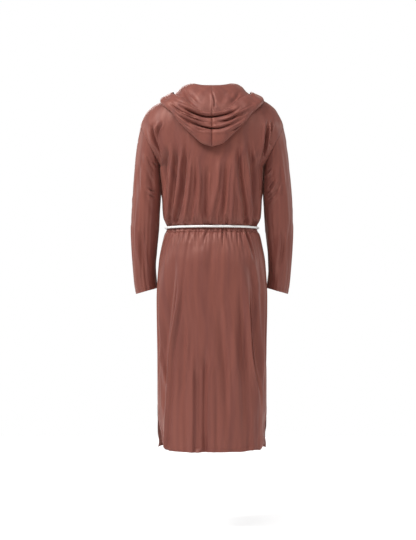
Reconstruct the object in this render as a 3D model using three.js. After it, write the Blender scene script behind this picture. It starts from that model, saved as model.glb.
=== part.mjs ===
// A hooded monk's robe, worn with its hood down and a rope round the waist.
//
// Millimetres, +Z up. The origin is between the wearer's shoulders, where the robe hangs from them.
// -Y is the front of the robe and +X is the wearer's left.
//
// Every cloth piece is a thin wall over a grid of points. The robe's body is a stack of rings. A ring
// has an angle that starts at the wearer's left side (0 degrees), passes the middle of the back (90)
// and the right side (180), and comes back round the front (270).
import * as THREE from 'three';

// Driving dimensions.
const CLOTH = 2; // thickness of every cloth wall
const SEAM_GAP = 0.36; // two pieces sewn together stay this far apart
const HEM_Z = -1235;
const SLIT_TOP_Z = -1085; // the side seams are open from here down
const SLIT_SPREAD = 24; // degrees that the back draws back from the side at the hem
const FRONT_SLIT_SHARE = 0.25; // the front draws back by this share of that
const HEM_CORNER = { height: 24, spread: 9 }; // the hem's corners are rounded, spread is in degrees
const SLIT_DRAW_IN = 7; // the back's free edges lie this far inside the body's form
const WAIST_SEAM_Z = -480; // the skirt is gathered to the bodice just below the rope
const WAIST_Z = -466;
const SIDE_Y = 2; // the shoulder seam and the side seam lie this far behind the origin
const NECK_POINT_Z = 22; // where the shoulder seam meets the neckline
const SHOULDER_POINT = { x: 250.5, z: -112 }; // top of the dropped armhole
const UNDERARM_POINT = { x: 180.5, z: -250 }; // bottom of the armhole
const ARMHOLE_HALF_DEPTH = 62;
const ARMHOLE_BLEND = 2.2; // how fast the armhole's opening dies away over the panel
const ARMHOLE_SOFTNESS = 2; // how gently it begins and ends there, away from the seam
const ROPE_RADIUS = 4;
const ROPE_CLEARANCE = 0.5;

// Rings of the robe's body. drop is how far the ring lies below the neck point, at the side seam.
// side, back and front are the ring's reach there, and each z its height there. Further down a ring
// is level. squareness is 1 for an ellipse and less for a fuller section.
const BODY_RINGS = [
  { drop: 0, sideX: 80, sideZ: 22, backY: 60, backZ: 8, frontY: -84, frontZ: -70, squareness: 1 },
  { drop: 20, sideX: 122, sideZ: 3, backY: 80, backZ: -9, frontY: -97, frontZ: -77, squareness: 1 },
  { drop: 45, sideX: 172, sideZ: -21, backY: 98, backZ: -32, frontY: -107, frontZ: -84, squareness: 0.98 },
  { drop: 72, sideX: 214, sideZ: -44, backY: 109, backZ: -57, frontY: -114, frontZ: -92, squareness: 0.94 },
  { drop: 101, sideX: 238, sideZ: -75, backY: 116, backZ: -83, frontY: -118, frontZ: -101, squareness: 0.9 },
  { drop: 134, sideX: 250.5, sideZ: -112, backY: 120, backZ: -112, frontY: -121, frontZ: -112, squareness: 0.87 },
  { drop: 178, sideX: 228.2, sideZ: -156, backY: 125, backZ: -156, frontY: -126, frontZ: -156, squareness: 0.86 },
  { drop: 225, sideX: 204.4, sideZ: -203, backY: 127, backZ: -203, frontY: -129, frontZ: -203, squareness: 0.85 },
  { drop: 272, sideX: 180.5, sideZ: -250, backY: 127, backZ: -250, frontY: -130, frontZ: -250, squareness: 0.85 },
  { drop: 322, sideX: 177, sideZ: -300, backY: 125, backZ: -300, frontY: -129, frontZ: -300, squareness: 0.85 },
  { drop: 365, sideX: 175, sideZ: -343, backY: 123, backZ: -343, frontY: -127, frontZ: -343, squareness: 0.85 },
  { drop: 415, sideX: 173, sideZ: -393, backY: 120, backZ: -393, frontY: -124, frontZ: -393, squareness: 0.85 },
  { drop: 450, sideX: 170, sideZ: -428, backY: 115, backZ: -428, frontY: -119, frontZ: -428, squareness: 0.86 },
  { drop: 488, sideX: 156, sideZ: -466, backY: 99, backZ: -466, frontY: -105, frontZ: -466, squareness: 0.88 },
  { drop: 512, sideX: 167, sideZ: -490, backY: 111, backZ: -490, frontY: -114, frontZ: -490, squareness: 0.88 },
  { drop: 547, sideX: 175, sideZ: -525, backY: 124, backZ: -525, frontY: -121, frontZ: -525, squareness: 0.88 },
  { drop: 612, sideX: 186, sideZ: -590, backY: 136, backZ: -590, frontY: -129, frontZ: -590, squareness: 0.87 },
  { drop: 739, sideX: 193, sideZ: -717, backY: 139, backZ: -717, frontY: -134, frontZ: -717, squareness: 0.85 },
  { drop: 922, sideX: 190.5, sideZ: -900, backY: 134, backZ: -900, frontY: -138, frontZ: -900, squareness: 0.82 },
  { drop: 1257, sideX: 190, sideZ: -1235, backY: 137, backZ: -1235, frontY: -145, frontZ: -1235, squareness: 0.8 },
];

// Rings of a sleeve, from the armhole to the cuff. Each is an ellipse between its outer point, away
// from the body, and its inner point.
const SLEEVE_RINGS = [
  { along: 0, outerX: 250.5, outerZ: -112, innerX: 180.5, innerZ: -250, middleY: 2, halfDepth: 62 },
  { along: 0.1, outerX: 260.5, outerZ: -166, innerX: 180.4, innerZ: -274, middleY: 1, halfDepth: 61 },
  { along: 0.27, outerX: 271.5, outerZ: -262, innerX: 177.8, innerZ: -335, middleY: -2, halfDepth: 58 },
  { along: 0.45, outerX: 281, outerZ: -372, innerX: 182.5, innerZ: -416, middleY: -8, halfDepth: 55 },
  { along: 0.6, outerX: 285, outerZ: -462, innerX: 188, innerZ: -486, middleY: -16, halfDepth: 54 },
  { along: 0.75, outerX: 282, outerZ: -546, innerX: 195, innerZ: -556, middleY: -26, halfDepth: 52 },
  { along: 0.88, outerX: 277, outerZ: -624, innerX: 198, innerZ: -614, middleY: -36, halfDepth: 50 },
  { along: 0.95, outerX: 273, outerZ: -668, innerX: 196, innerZ: -650, middleY: -42, halfDepth: 48 },
  { along: 1, outerX: 267, outerZ: -697, innerX: 193.5, innerZ: -676, middleY: -46, halfDepth: 47 },
];

// How far down the body the lowered hood lies, by angle round the neck. Reach is in drop.
const HOOD_REACH = [
  { angle: -90, reach: 92 },
  { angle: -60, reach: 60 },
  { angle: -30, reach: 43 },
  { angle: 0, reach: 40 },
  { angle: 28, reach: 60 },
  { angle: 56, reach: 93 },
  { angle: 63, reach: 114 },
  { angle: 68, reach: 134 },
  { angle: 76, reach: 172 },
  { angle: 83, reach: 201 },
  { angle: 90, reach: 213 },
];

// The lowered hood from its neck seam to its face edge: it stands, rolls over, lies down the body,
// turns back at its tip and comes up again in soft rolls. start is a drop, share a share of the
// hood's reach, lift the height of the cloth's middle above the robe.
const HOOD_PATH = [
  { start: -3, backShare: 0, backLift: -1, sideShare: 0, sideLift: -1, frontShare: 0, frontLift: -1 },
  { start: -9, backShare: 0, backLift: 3, sideShare: 0, sideLift: 3, frontShare: 0, frontLift: 2 },
  { start: -8, backShare: 0, backLift: 10, sideShare: 0, sideLift: 11, frontShare: 0, frontLift: 7 },
  { start: 0, backShare: 0, backLift: 14, sideShare: 0.04, sideLift: 17, frontShare: 0.05, frontLift: 10 },
  { start: 0, backShare: 0.08, backLift: 12, sideShare: 0.22, sideLift: 15, frontShare: 0.2, frontLift: 9 },
  { start: 0, backShare: 0.24, backLift: 7, sideShare: 0.42, sideLift: 7, frontShare: 0.4, frontLift: 5.5 },
  { start: 0, backShare: 0.46, backLift: 5, sideShare: 0.6, sideLift: 4, frontShare: 0.6, frontLift: 4 },
  { start: 0, backShare: 0.7, backLift: 5, sideShare: 0.78, sideLift: 3.5, frontShare: 0.78, frontLift: 3.5 },
  { start: 0, backShare: 0.92, backLift: 5, sideShare: 0.92, sideLift: 3.5, frontShare: 0.93, frontLift: 3.5 },
  { start: 0, backShare: 1, backLift: 9, sideShare: 1, sideLift: 6, frontShare: 1, frontLift: 5.5 },
  { start: 0, backShare: 1, backLift: 17, sideShare: 0.99, sideLift: 8.5, frontShare: 0.99, frontLift: 8 },
  { start: 0, backShare: 0.93, backLift: 25, sideShare: 0.94, sideLift: 10, frontShare: 0.96, frontLift: 9 },
  { start: 0, backShare: 0.83, backLift: 26, sideShare: 0.9, sideLift: 10.5, frontShare: 0.93, frontLift: 9.2 },
  { start: 0, backShare: 0.76, backLift: 20, sideShare: 0.86, sideLift: 9.5, frontShare: 0.91, frontLift: 9.2 },
  { start: 0, backShare: 0.727, backLift: 13, sideShare: 0.83, sideLift: 8.5, frontShare: 0.89, frontLift: 9.2 },
  { start: 0, backShare: 0.7, backLift: 20, sideShare: 0.8, sideLift: 9.5, frontShare: 0.87, frontLift: 9.2 },
  { start: 0, backShare: 0.65, backLift: 27, sideShare: 0.77, sideLift: 10.8, frontShare: 0.85, frontLift: 9.2 },
  { start: 0, backShare: 0.59, backLift: 26, sideShare: 0.74, sideLift: 10.8, frontShare: 0.83, frontLift: 9.2 },
  { start: 0, backShare: 0.55, backLift: 20, sideShare: 0.71, sideLift: 9.8, frontShare: 0.81, frontLift: 9.2 },
  { start: 0, backShare: 0.532, backLift: 13, sideShare: 0.69, sideLift: 9, frontShare: 0.79, frontLift: 9.2 },
  { start: 0, backShare: 0.512, backLift: 19, sideShare: 0.67, sideLift: 9.8, frontShare: 0.77, frontLift: 9.2 },
  { start: 0, backShare: 0.48, backLift: 24, sideShare: 0.64, sideLift: 11.5, frontShare: 0.75, frontLift: 9.2 },
  { start: 0, backShare: 0.45, backLift: 21, sideShare: 0.61, sideLift: 12.5, frontShare: 0.73, frontLift: 9.2 },
  { start: 0, backShare: 0.44, backLift: 13, sideShare: 0.59, sideLift: 10.5, frontShare: 0.72, frontLift: 8.6 },
];

// The largest folds, as seen from behind (or from the front for the front panel). A fold runs down
// through three points; width is half its breadth, and depth is above 0 for a ridge, below for a trough.
const BACK_FOLDS = [
  { topX: 200, topZ: -105, middleX: 190, middleZ: -165, endX: 175, endZ: -330, width: 13, depth: -11 },
  { topX: 172, topZ: -115, middleX: 172, middleZ: -140, endX: 168, endZ: -200, width: 12, depth: -5 },
  { topX: 150, topZ: -150, middleX: 161, middleZ: -300, endX: 153, endZ: -440, width: 13, depth: -8 },
  { topX: 122, topZ: -165, middleX: 128, middleZ: -310, endX: 140, endZ: -455, width: 13, depth: -9 },
  { topX: 84, topZ: -160, middleX: 92, middleZ: -290, endX: 106, endZ: -455, width: 13, depth: -9 },
  { topX: 53, topZ: -230, middleX: 56, middleZ: -330, endX: 62, endZ: -455, width: 13, depth: -4 },
  { topX: 8, topZ: -210, middleX: 15, middleZ: -320, endX: 15, endZ: -455, width: 15, depth: -6 },
  { topX: -56, topZ: -220, middleX: -50, middleZ: -320, endX: -44, endZ: -455, width: 13, depth: -5 },
  { topX: -92, topZ: -165, middleX: -104, middleZ: -300, endX: -119, endZ: -455, width: 13, depth: -9 },
  { topX: -132, topZ: -150, middleX: -146, middleZ: -310, endX: -152, endZ: -445, width: 14, depth: -12 },
  { topX: -194, topZ: -90, middleX: -186, middleZ: -165, endX: -175, endZ: -330, width: 13, depth: -11 },
  { topX: 12, topZ: -472, middleX: 24, middleZ: -510, endX: 33, endZ: -560, width: 12, depth: -6 },
  { topX: -42, topZ: -472, middleX: -41, middleZ: -495, endX: -40, endZ: -540, width: 13, depth: -4 },
  { topX: -118, topZ: -472, middleX: -136, middleZ: -520, endX: -156, endZ: -590, width: 14, depth: -5 },
  { topX: 100, topZ: -472, middleX: 98, middleZ: -500, endX: 96, endZ: -545, width: 13, depth: -3 },
  { topX: 88, topZ: -680, middleX: 134, middleZ: -860, endX: 157, endZ: -1200, width: 13, depth: 8 },
  { topX: 92, topZ: -730, middleX: 100, middleZ: -940, endX: 118, endZ: -1200, width: 18, depth: -7 },
  { topX: 60, topZ: -900, middleX: 58, middleZ: -1060, endX: 60, endZ: HEM_Z, width: 15, depth: 7 },
  { topX: 22, topZ: -880, middleX: 20, middleZ: -1000, endX: 19, endZ: HEM_Z, width: 15, depth: -8 },
  { topX: -54, topZ: -1000, middleX: -52, middleZ: -1100, endX: -50, endZ: HEM_Z, width: 14, depth: -5 },
  { topX: -122, topZ: -680, middleX: -148, middleZ: -900, endX: -176, endZ: -1120, width: 15, depth: 9 },
];
const FRONT_FOLDS = [
  { topX: 190, topZ: -130, middleX: 186, middleZ: -190, endX: 175, endZ: -330, width: 13, depth: -9 },
  { topX: 138, topZ: -170, middleX: 146, middleZ: -310, endX: 148, endZ: -445, width: 14, depth: -9 },
  { topX: 92, topZ: -190, middleX: 100, middleZ: -310, endX: 116, endZ: -455, width: 14, depth: -8 },
  { topX: 40, topZ: -220, middleX: 48, middleZ: -330, endX: 58, endZ: -455, width: 14, depth: -6 },
  { topX: -14, topZ: -240, middleX: -12, middleZ: -340, endX: -18, endZ: -455, width: 15, depth: -7 },
  { topX: -64, topZ: -200, middleX: -70, middleZ: -320, endX: -84, endZ: -455, width: 14, depth: -8 },
  { topX: -118, topZ: -180, middleX: -128, middleZ: -310, endX: -136, endZ: -455, width: 14, depth: -9 },
  { topX: -188, topZ: -130, middleX: -184, middleZ: -190, endX: -175, endZ: -330, width: 13, depth: -9 },
  { topX: 70, topZ: -474, middleX: 78, middleZ: -520, endX: 88, endZ: -600, width: 14, depth: -5 },
  { topX: -34, topZ: -474, middleX: -42, middleZ: -520, endX: -52, endZ: -600, width: 14, depth: -5 },
  { topX: 96, topZ: -700, middleX: 122, middleZ: -900, endX: 138, endZ: HEM_Z, width: 16, depth: 9 },
  { topX: 40, topZ: -760, middleX: 46, middleZ: -980, endX: 52, endZ: HEM_Z, width: 15, depth: -8 },
  { topX: -26, topZ: -820, middleX: -30, middleZ: -1000, endX: -34, endZ: HEM_Z, width: 15, depth: 7 },
  { topX: -84, topZ: -700, middleX: -104, middleZ: -900, endX: -120, endZ: HEM_Z, width: 16, depth: -8 },
];

// Sleeve folds lie on the back (facing 1) or the front (facing -1). across is 1 at the outer line of
// the sleeve and -1 at the inner line; low and high are how far down the sleeve the fold runs.
const SLEEVE_FOLDS = [
  { facing: 1, high: 0.1, highAcross: -0.1, low: 0.42, lowAcross: -0.75, width: 0.2, depth: -6 },
  { facing: 1, high: 0.28, highAcross: 0.35, low: 0.52, lowAcross: -0.7, width: 0.2, depth: -5 },
  { facing: 1, high: 0.6, highAcross: 0.55, low: 0.96, lowAcross: -0.35, width: 0.26, depth: -7 },
  { facing: -1, high: 0.12, highAcross: -0.1, low: 0.45, lowAcross: -0.7, width: 0.22, depth: -6 },
  { facing: -1, high: 0.4, highAcross: 0.5, low: 0.56, lowAcross: -0.6, width: 0.22, depth: -6 },
  { facing: -1, high: 0.6, highAcross: 0.4, low: 0.95, lowAcross: -0.4, width: 0.28, depth: -5 },
];

const CLOTH_COLOUR = 0x8c564c;
const ROPE_COLOUR = 0xf2efe9;

const radians = (degrees) => THREE.MathUtils.degToRad(degrees);
const mix = (a, b, share) => a + (b - a) * share;

// Smooth curve through one column of a table, without overshoot between its rows.
function curveThrough(rows, input, output) {
  const x = rows.map((row) => row[input]);
  const y = rows.map((row) => row[output]);
  const last = x.length - 1;
  const slope = x.slice(1).map((at, i) => (y[i + 1] - y[i]) / (at - x[i]));
  const tangent = x.map((at, i) => {
    if (i === 0) return slope[0];
    if (i === last) return slope[last - 1];
    if (slope[i - 1] * slope[i] <= 0) return 0;
    return (2 * slope[i - 1] * slope[i]) / (slope[i - 1] + slope[i]);
  });
  return (at) => {
    if (at <= x[0]) return y[0] + tangent[0] * (at - x[0]);
    if (at >= x[last]) return y[last] + tangent[last] * (at - x[last]);
    let i = 0;
    while (at > x[i + 1]) i++;
    const span = x[i + 1] - x[i];
    const t = (at - x[i]) / span;
    const rise = t * t * (3 - 2 * t);
    return (
      mix(y[i], y[i + 1], rise) +
      span * t * (1 - t) * ((1 - t) * tangent[i] - t * tangent[i + 1])
    );
  };
}

// One curve for every column of a table but the input.
function curvesThrough(rows, input) {
  const outputs = Object.keys(rows[0]).filter((name) => name !== input);
  return Object.fromEntries(outputs.map((name) => [name, curveThrough(rows, input, name)]));
}

const body = curvesThrough(BODY_RINGS, 'drop');
const sleeve = curvesThrough(SLEEVE_RINGS, 'along');
const hoodReach = curveThrough(HOOD_REACH, 'angle', 'reach');

const SHOULDER_DROP = NECK_POINT_Z - SHOULDER_POINT.z;
const UNDERARM_DROP = NECK_POINT_Z - UNDERARM_POINT.z;
const WAIST_SEAM_DROP = NECK_POINT_Z - WAIST_SEAM_Z;
const HEM_DROP = NECK_POINT_Z - HEM_Z;

// 0 outside the armhole's stretch of rings, 1 at its widest. At the seam it is half an ellipse, and
// further in, where sine is larger, it begins and ends more gently.
function armholeShare(drop, sine = 0) {
  if (drop <= SHOULDER_DROP || drop >= UNDERARM_DROP) return 0;
  const share = (drop - SHOULDER_DROP) / (UNDERARM_DROP - SHOULDER_DROP);
  return (4 * share * (1 - share)) ** (0.5 + ARMHOLE_SOFTNESS * sine);
}

// A ring's reach to the side: along the armhole a straight line at the seam, a smooth curve further in.
function sideReach(drop, sine) {
  if (drop <= SHOULDER_DROP || drop >= UNDERARM_DROP) return body.sideX(drop);
  const share = (drop - SHOULDER_DROP) / (UNDERARM_DROP - SHOULDER_DROP);
  const atSeam = (1 - sine) ** ARMHOLE_BLEND;
  return mix(body.sideX(drop), mix(SHOULDER_POINT.x, UNDERARM_POINT.x, share), atSeam);
}

// The robe's unfolded outer surface at an angle in degrees and a drop. facing is 1 on the back and -1
// on the front, and a side seam's angle belongs to both.
const facingAt = (angle) => (Math.sin(radians(angle)) >= 0 ? 1 : -1);
function smoothBody(angle, drop, facing = facingAt(angle)) {
  const c = Math.cos(radians(angle));
  const s = Math.sin(radians(angle));
  const isBack = facing > 0;
  const square = body.squareness(drop);
  const reachY = isBack ? body.backY(drop) : body.frontY(drop);
  const middleZ = isBack ? body.backZ(drop) : body.frontZ(drop);
  const opening = facing * ARMHOLE_HALF_DEPTH * armholeShare(drop, Math.abs(s));
  return new THREE.Vector3(
    Math.sign(c) * sideReach(drop, Math.abs(s)) * Math.abs(c) ** square,
    SIDE_Y + (reachY - SIDE_Y) * Math.abs(s) ** square + opening * (1 - Math.abs(s)) ** ARMHOLE_BLEND,
    mix(body.sideZ(drop), middleZ, s * s),
  );
}

function normalOf(surface, u, v, stepU, stepV) {
  const alongU = surface(u + stepU, v).sub(surface(u - stepU, v));
  const alongV = surface(u, v + stepV).sub(surface(u, v - stepV));
  return alongU.cross(alongV).normalize();
}

// Outward normal of the smooth body. Near a side seam it is taken a little way off it.
function bodyNormal(angle, drop, facing = facingAt(angle)) {
  const isNearSeam = Math.abs(Math.sin(radians(angle))) < 0.02;
  const fromSeam = isNearSeam ? 1.5 * facing * Math.sign(Math.cos(radians(angle))) : 0;
  return normalOf((a, d) => smoothBody(a, d, facing), angle + fromSeam, drop, 0.5, 1).negate();
}

// Height of a table of folds at a place on a panel.
function foldHeight(folds, x, z) {
  let height = 0;
  for (const fold of folds) {
    const run = (z - fold.topZ) / (fold.endZ - fold.topZ);
    if (run <= 0 || run >= 1) continue;
    const bendAt = (fold.middleZ - fold.topZ) / (fold.endZ - fold.topZ);
    const bow = fold.middleX - mix(fold.topX, fold.endX, bendAt);
    const lineX = mix(fold.topX, fold.endX, run) + (bow * run * (1 - run)) / (bendAt * (1 - bendAt));
    const reachesHem = fold.endZ <= HEM_Z;
    const fadeIn = THREE.MathUtils.smoothstep(run, 0, 0.3);
    const fadeOut = reachesHem ? 1 : THREE.MathUtils.smoothstep(1 - run, 0, 0.25);
    height += fold.depth * fadeIn * fadeOut * Math.exp(-(((x - lineX) / fold.width) ** 2));
  }
  return height;
}

// The cloth is held flat under the rope.
const freeOfWaist = (z) => 1 - Math.exp(-(((z - WAIST_Z) / 16) ** 2));

// A wall from a grid of outer points and the directions into the cloth at each of them.
function wall(points, inward) {
  const rows = points.length;
  const columns = points[0].length;
  const position = [];
  const add = (p) => position.push(p.x, p.y, p.z);
  points.forEach((row) => row.forEach(add));
  points.forEach((row, i) => row.forEach((p, j) => add(p.clone().addScaledVector(inward[i][j], CLOTH))));
  const outer = (i, j) => i * columns + j;
  const inner = (i, j) => rows * columns + outer(i, j);
  const index = [];
  const quad = (a, b, c, d) => index.push(a, b, c, a, c, d);
  for (let i = 0; i < rows - 1; i++) {
    for (let j = 0; j < columns - 1; j++) {
      quad(outer(i, j), outer(i + 1, j), outer(i + 1, j + 1), outer(i, j + 1));
      quad(inner(i, j), inner(i, j + 1), inner(i + 1, j + 1), inner(i + 1, j));
    }
    quad(outer(i, 0), inner(i, 0), inner(i + 1, 0), outer(i + 1, 0));
    const j = columns - 1;
    quad(outer(i, j), outer(i + 1, j), inner(i + 1, j), inner(i, j));
  }
  for (let j = 0; j < columns - 1; j++) {
    quad(outer(0, j), outer(0, j + 1), inner(0, j + 1), inner(0, j));
    const i = rows - 1;
    quad(outer(i, j), inner(i, j), inner(i, j + 1), outer(i, j + 1));
  }
  const geometry = new THREE.BufferGeometry();
  geometry.setAttribute('position', new THREE.Float32BufferAttribute(position, 3));
  geometry.setIndex(index);
  geometry.computeVertexNormals();
  return geometry;
}

// Directions into the cloth over a grid, from the neighbouring points.
function inwardDirections(points) {
  const rows = points.length;
  const columns = points[0].length;
  return points.map((row, i) =>
    row.map((p, j) => {
      const down = points[Math.min(i + 1, rows - 1)][j].clone().sub(points[Math.max(i - 1, 0)][j]);
      const across = points[i][Math.min(j + 1, columns - 1)].clone().sub(points[i][Math.max(j - 1, 0)]);
      return across.cross(down).normalize();
    }),
  );
}

const clothMaterial = () => new THREE.MeshStandardMaterial({ color: CLOTH_COLOUR, roughness: 0.62, metalness: 0 });
const ropeMaterial = () => new THREE.MeshStandardMaterial({ color: ROPE_COLOUR, roughness: 0.8, metalness: 0 });

function named(name, geometry, material) {
  const mesh = new THREE.Mesh(geometry, material);
  mesh.name = name;
  return mesh;
}

// The armhole lies in a plane. Its normal points to the sleeve.
const armholeNormal = new THREE.Vector3(
  SHOULDER_POINT.z - UNDERARM_POINT.z,
  0,
  UNDERARM_POINT.x - SHOULDER_POINT.x,
).normalize();

function mirrored(vector, side) {
  return new THREE.Vector3(vector.x * side, vector.y, vector.z);
}

// A wall's inward direction, turned into a seam's plane where it would cross it. It is lengthened so
// that the cloth keeps its thickness.
const LONGEST_MITRE = 2.5;
function keptBehind(direction, planeNormal) {
  const across = direction.dot(planeNormal);
  if (across <= 0) return direction;
  const inPlane = direction.clone().addScaledVector(planeNormal, -across).normalize();
  return inPlane.multiplyScalar(Math.min(LONGEST_MITRE, 1 / inPlane.dot(direction)));
}

// Drops of a bodice's rows: close together over the shoulder, round the armhole and at the waist.
function bodiceDrops(yokeRows, armholeRows, waistRows) {
  const drops = [];
  for (let i = 0; i < yokeRows; i++) drops.push(SHOULDER_DROP * (i / yokeRows));
  for (let i = 0; i < armholeRows; i++) {
    drops.push(mix(SHOULDER_DROP, UNDERARM_DROP, (1 - Math.cos((Math.PI * i) / armholeRows)) / 2));
  }
  const waistDrop = NECK_POINT_Z - WAIST_Z;
  for (let i = 0; i <= waistRows; i++) {
    drops.push(mix(UNDERARM_DROP, waistDrop, Math.sin((Math.PI / 2) * (i / waistRows))));
  }
  drops.push(WAIST_SEAM_DROP);
  return drops;
}

// Drops of a skirt's rows: close together at the waist and at the rounded corners of the hem.
function skirtDrops(rows, cornerRows) {
  const drops = [];
  const cornerDrop = HEM_DROP - HEM_CORNER.height;
  for (let i = 0; i < rows; i++) drops.push(mix(WAIST_SEAM_DROP, cornerDrop, (i / rows) ** 1.35));
  for (let i = 0; i <= cornerRows; i++) {
    drops.push(mix(cornerDrop, HEM_DROP, Math.sin((Math.PI / 2) * (i / cornerRows))));
  }
  return drops;
}

// Degrees by which a panel is drawn back from the side, at its slit and its rounded corner.
function drawnBack(facing, drop) {
  const slit = Math.max(0, (drop - NECK_POINT_Z + SLIT_TOP_Z) / (SLIT_TOP_Z - HEM_Z));
  const corner = Math.max(0, 1 - (HEM_DROP - drop) / HEM_CORNER.height);
  const rounding = HEM_CORNER.spread * (1 - Math.sqrt(1 - corner ** 2));
  return (SLIT_SPREAD * slit ** 0.8 + rounding) * (facing > 0 ? 1 : FRONT_SLIT_SHARE);
}

// Inward directions along the waist seam, the same for the bodice and the skirt.
function waistSeamDirections(facing, columns) {
  const row = [];
  for (let j = 0; j <= columns; j++) {
    row.push(bodyNormal(facing * mix(0, 180, j / columns), WAIST_SEAM_DROP, facing).negate());
  }
  return facing > 0 ? row : row.reverse();
}

// A piece of the front or of the back: the bodice or the skirt. facing is 1 for the back.
function bodyPanel(name, facing, folds, drops, columns) {
  const points = drops.map((drop) => {
    const drawn = drawnBack(facing, drop);
    const drawIn = facing > 0 ? -SLIT_DRAW_IN * THREE.MathUtils.smoothstep(drawn, 0, SLIT_SPREAD) : 0;
    const row = [];
    for (let j = 0; j <= columns; j++) {
      const angle = facing * mix(drawn, 180 - drawn, j / columns);
      const point = smoothBody(angle, drop, facing);
      const edge = Math.abs(Math.cos(radians(angle)));
      const height = foldHeight(folds, point.x, point.z) * freeOfWaist(point.z) * (1 - edge ** 12);
      point.addScaledVector(bodyNormal(angle, drop, facing), height + drawIn * edge ** 6);
      row.push(point);
    }
    return facing > 0 ? row : row.reverse();
  });
  const inward = inwardDirections(points);
  const half = SEAM_GAP / 2;
  points.forEach((row, i) => {
    const drop = drops[i];
    if (drop === WAIST_SEAM_DROP) {
      inward[i] = waistSeamDirections(facing, columns);
      row.forEach((point) => (point.z += i === 0 ? -half : half));
    }
    for (const j of [0, columns]) {
      const towardsSleeve = mirrored(armholeNormal, Math.sign(row[j].x));
      const atArmhole = drop > SHOULDER_DROP - 1 && drop < UNDERARM_DROP + 1;
      if (armholeShare(drop) < 0.01) {
        inward[i][j].y = 0;
        inward[i][j].normalize();
      }
      if (atArmhole) {
        inward[i][j] = keptBehind(inward[i][j], towardsSleeve);
        row[j].addScaledVector(towardsSleeve, -half);
      }
      row[j].y += half * facing;
    }
  });
  return named(name, wall(points, inward), clothMaterial());
}

// Height of the sleeve's folds.
function sleeveFoldHeight(facing, across, along) {
  let height = 0;
  for (const fold of SLEEVE_FOLDS) {
    const run = (along - fold.high) / (fold.low - fold.high);
    if (fold.facing !== facing || run <= 0 || run >= 1) continue;
    const line = mix(fold.highAcross, fold.lowAcross, run);
    height += fold.depth * Math.sin(Math.PI * run) * Math.exp(-(((across - line) / fold.width) ** 2));
  }
  return height;
}

// A sleeve is one piece, closed by a seam along its inner line.
function sleevePiece(name, side, rows, columns) {
  const points = [];
  for (let i = 0; i <= rows; i++) {
    const along = i / rows;
    const row = [];
    for (let j = 0; j <= columns; j++) {
      const turn = Math.PI * mix(-1, 1, j / columns);
      const across = Math.cos(turn);
      const facing = Math.sin(turn) >= 0 ? 1 : -1;
      const outer = new THREE.Vector3(sleeve.outerX(along), sleeve.middleY(along), sleeve.outerZ(along));
      const inner = new THREE.Vector3(sleeve.innerX(along), sleeve.middleY(along), sleeve.innerZ(along));
      const point = inner.clone().lerp(outer, (1 + across) / 2);
      point.y += sleeve.halfDepth(along) * Math.sin(turn);
      const middle = inner.add(outer).multiplyScalar(0.5);
      const height = sleeveFoldHeight(facing, across, along) * Math.sin(turn) ** 2;
      point.addScaledVector(point.clone().sub(middle).normalize(), height);
      if (j === 0) point.y -= SEAM_GAP / 2;
      if (j === columns) point.y += SEAM_GAP / 2;
      row.push(point);
    }
    points.push(row);
  }
  const inward = inwardDirections(points);
  points.forEach((row, i) => {
    for (const j of [0, columns]) {
      inward[i][j].y = 0;
      inward[i][j].normalize();
    }
  });
  const towardsBody = armholeNormal.clone().negate();
  points[0].forEach((point, j) => {
    inward[0][j] = keptBehind(inward[0][j], towardsBody);
    point.addScaledVector(armholeNormal, SEAM_GAP / 2);
  });
  const place = (row) => row.map((vector) => mirrored(vector, side));
  const ordered = (grid) => grid.map((row) => (side > 0 ? place(row) : place(row).reverse()));
  return named(name, wall(ordered(points), ordered(inward)), clothMaterial());
}

// Where the lowered hood's cloth lies: its middle, at an angle round the neck and a step along its path.
const hoodPath = curvesThrough(
  HOOD_PATH.map((row, step) => ({ step, ...row })),
  'step',
);
function hoodPoint(angle, step) {
  const s = Math.sin(radians(angle));
  const toMiddle = Math.abs(s) ** 1.6;
  const part = s >= 0 ? 'back' : 'front';
  const reach = hoodReach(s >= 0 ? 90 - Math.abs(90 - angle) : angle < 0 ? angle : 180 - angle);
  const share = mix(hoodPath.sideShare(step), hoodPath[part + 'Share'](step), toMiddle);
  const lift = mix(hoodPath.sideLift(step), hoodPath[part + 'Lift'](step), toMiddle);
  const drop = hoodPath.start(step) + share * reach;
  return smoothBody(angle, drop).addScaledVector(bodyNormal(angle, drop), lift);
}

// Half of the hood, from the middle of the front to the seam down its middle.
function hoodHalf(name, side, rows, columns) {
  const frontAngle = -87;
  const points = [];
  for (let i = 0; i <= rows; i++) {
    const step = (i / rows) * (HOOD_PATH.length - 1);
    const row = [];
    for (let j = 0; j <= columns; j++) {
      const angle = mix(frontAngle, 90, (j / columns) ** 0.9);
      const point = hoodPoint(angle, step);
      if (j === columns) point.x = SEAM_GAP / 2;
      row.push(point);
    }
    points.push(row);
  }
  const inward = inwardDirections(points).map((row, i) =>
    row.map((direction, j) => {
      if (j === columns) direction.x = 0;
      return direction.normalize();
    }),
  );
  points.forEach((row, i) => row.forEach((point, j) => point.addScaledVector(inward[i][j], -CLOTH / 2)));
  points.forEach((row) => (row[columns].x = SEAM_GAP / 2));
  const place = (row) => row.map((vector) => mirrored(vector, side));
  const ordered = (grid) => grid.map((row) => (side > 0 ? place(row) : place(row).reverse()));
  return named(name, wall(ordered(points), ordered(inward)), clothMaterial());
}

// A closed round tube along a list of centres.
function ropeTube(centres, sides, radius) {
  const path = new THREE.CatmullRomCurve3(centres);
  const section = new THREE.Shape();
  for (let i = 0; i < sides; i++) {
    const turn = (2 * Math.PI * i) / sides;
    const x = radius * Math.cos(turn);
    const y = radius * Math.sin(turn);
    if (i === 0) section.moveTo(x, y);
    else section.lineTo(x, y);
  }
  section.closePath();
  return new THREE.ExtrudeGeometry(section, { steps: centres.length - 1, extrudePath: path, curveSegments: 1 });
}

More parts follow.
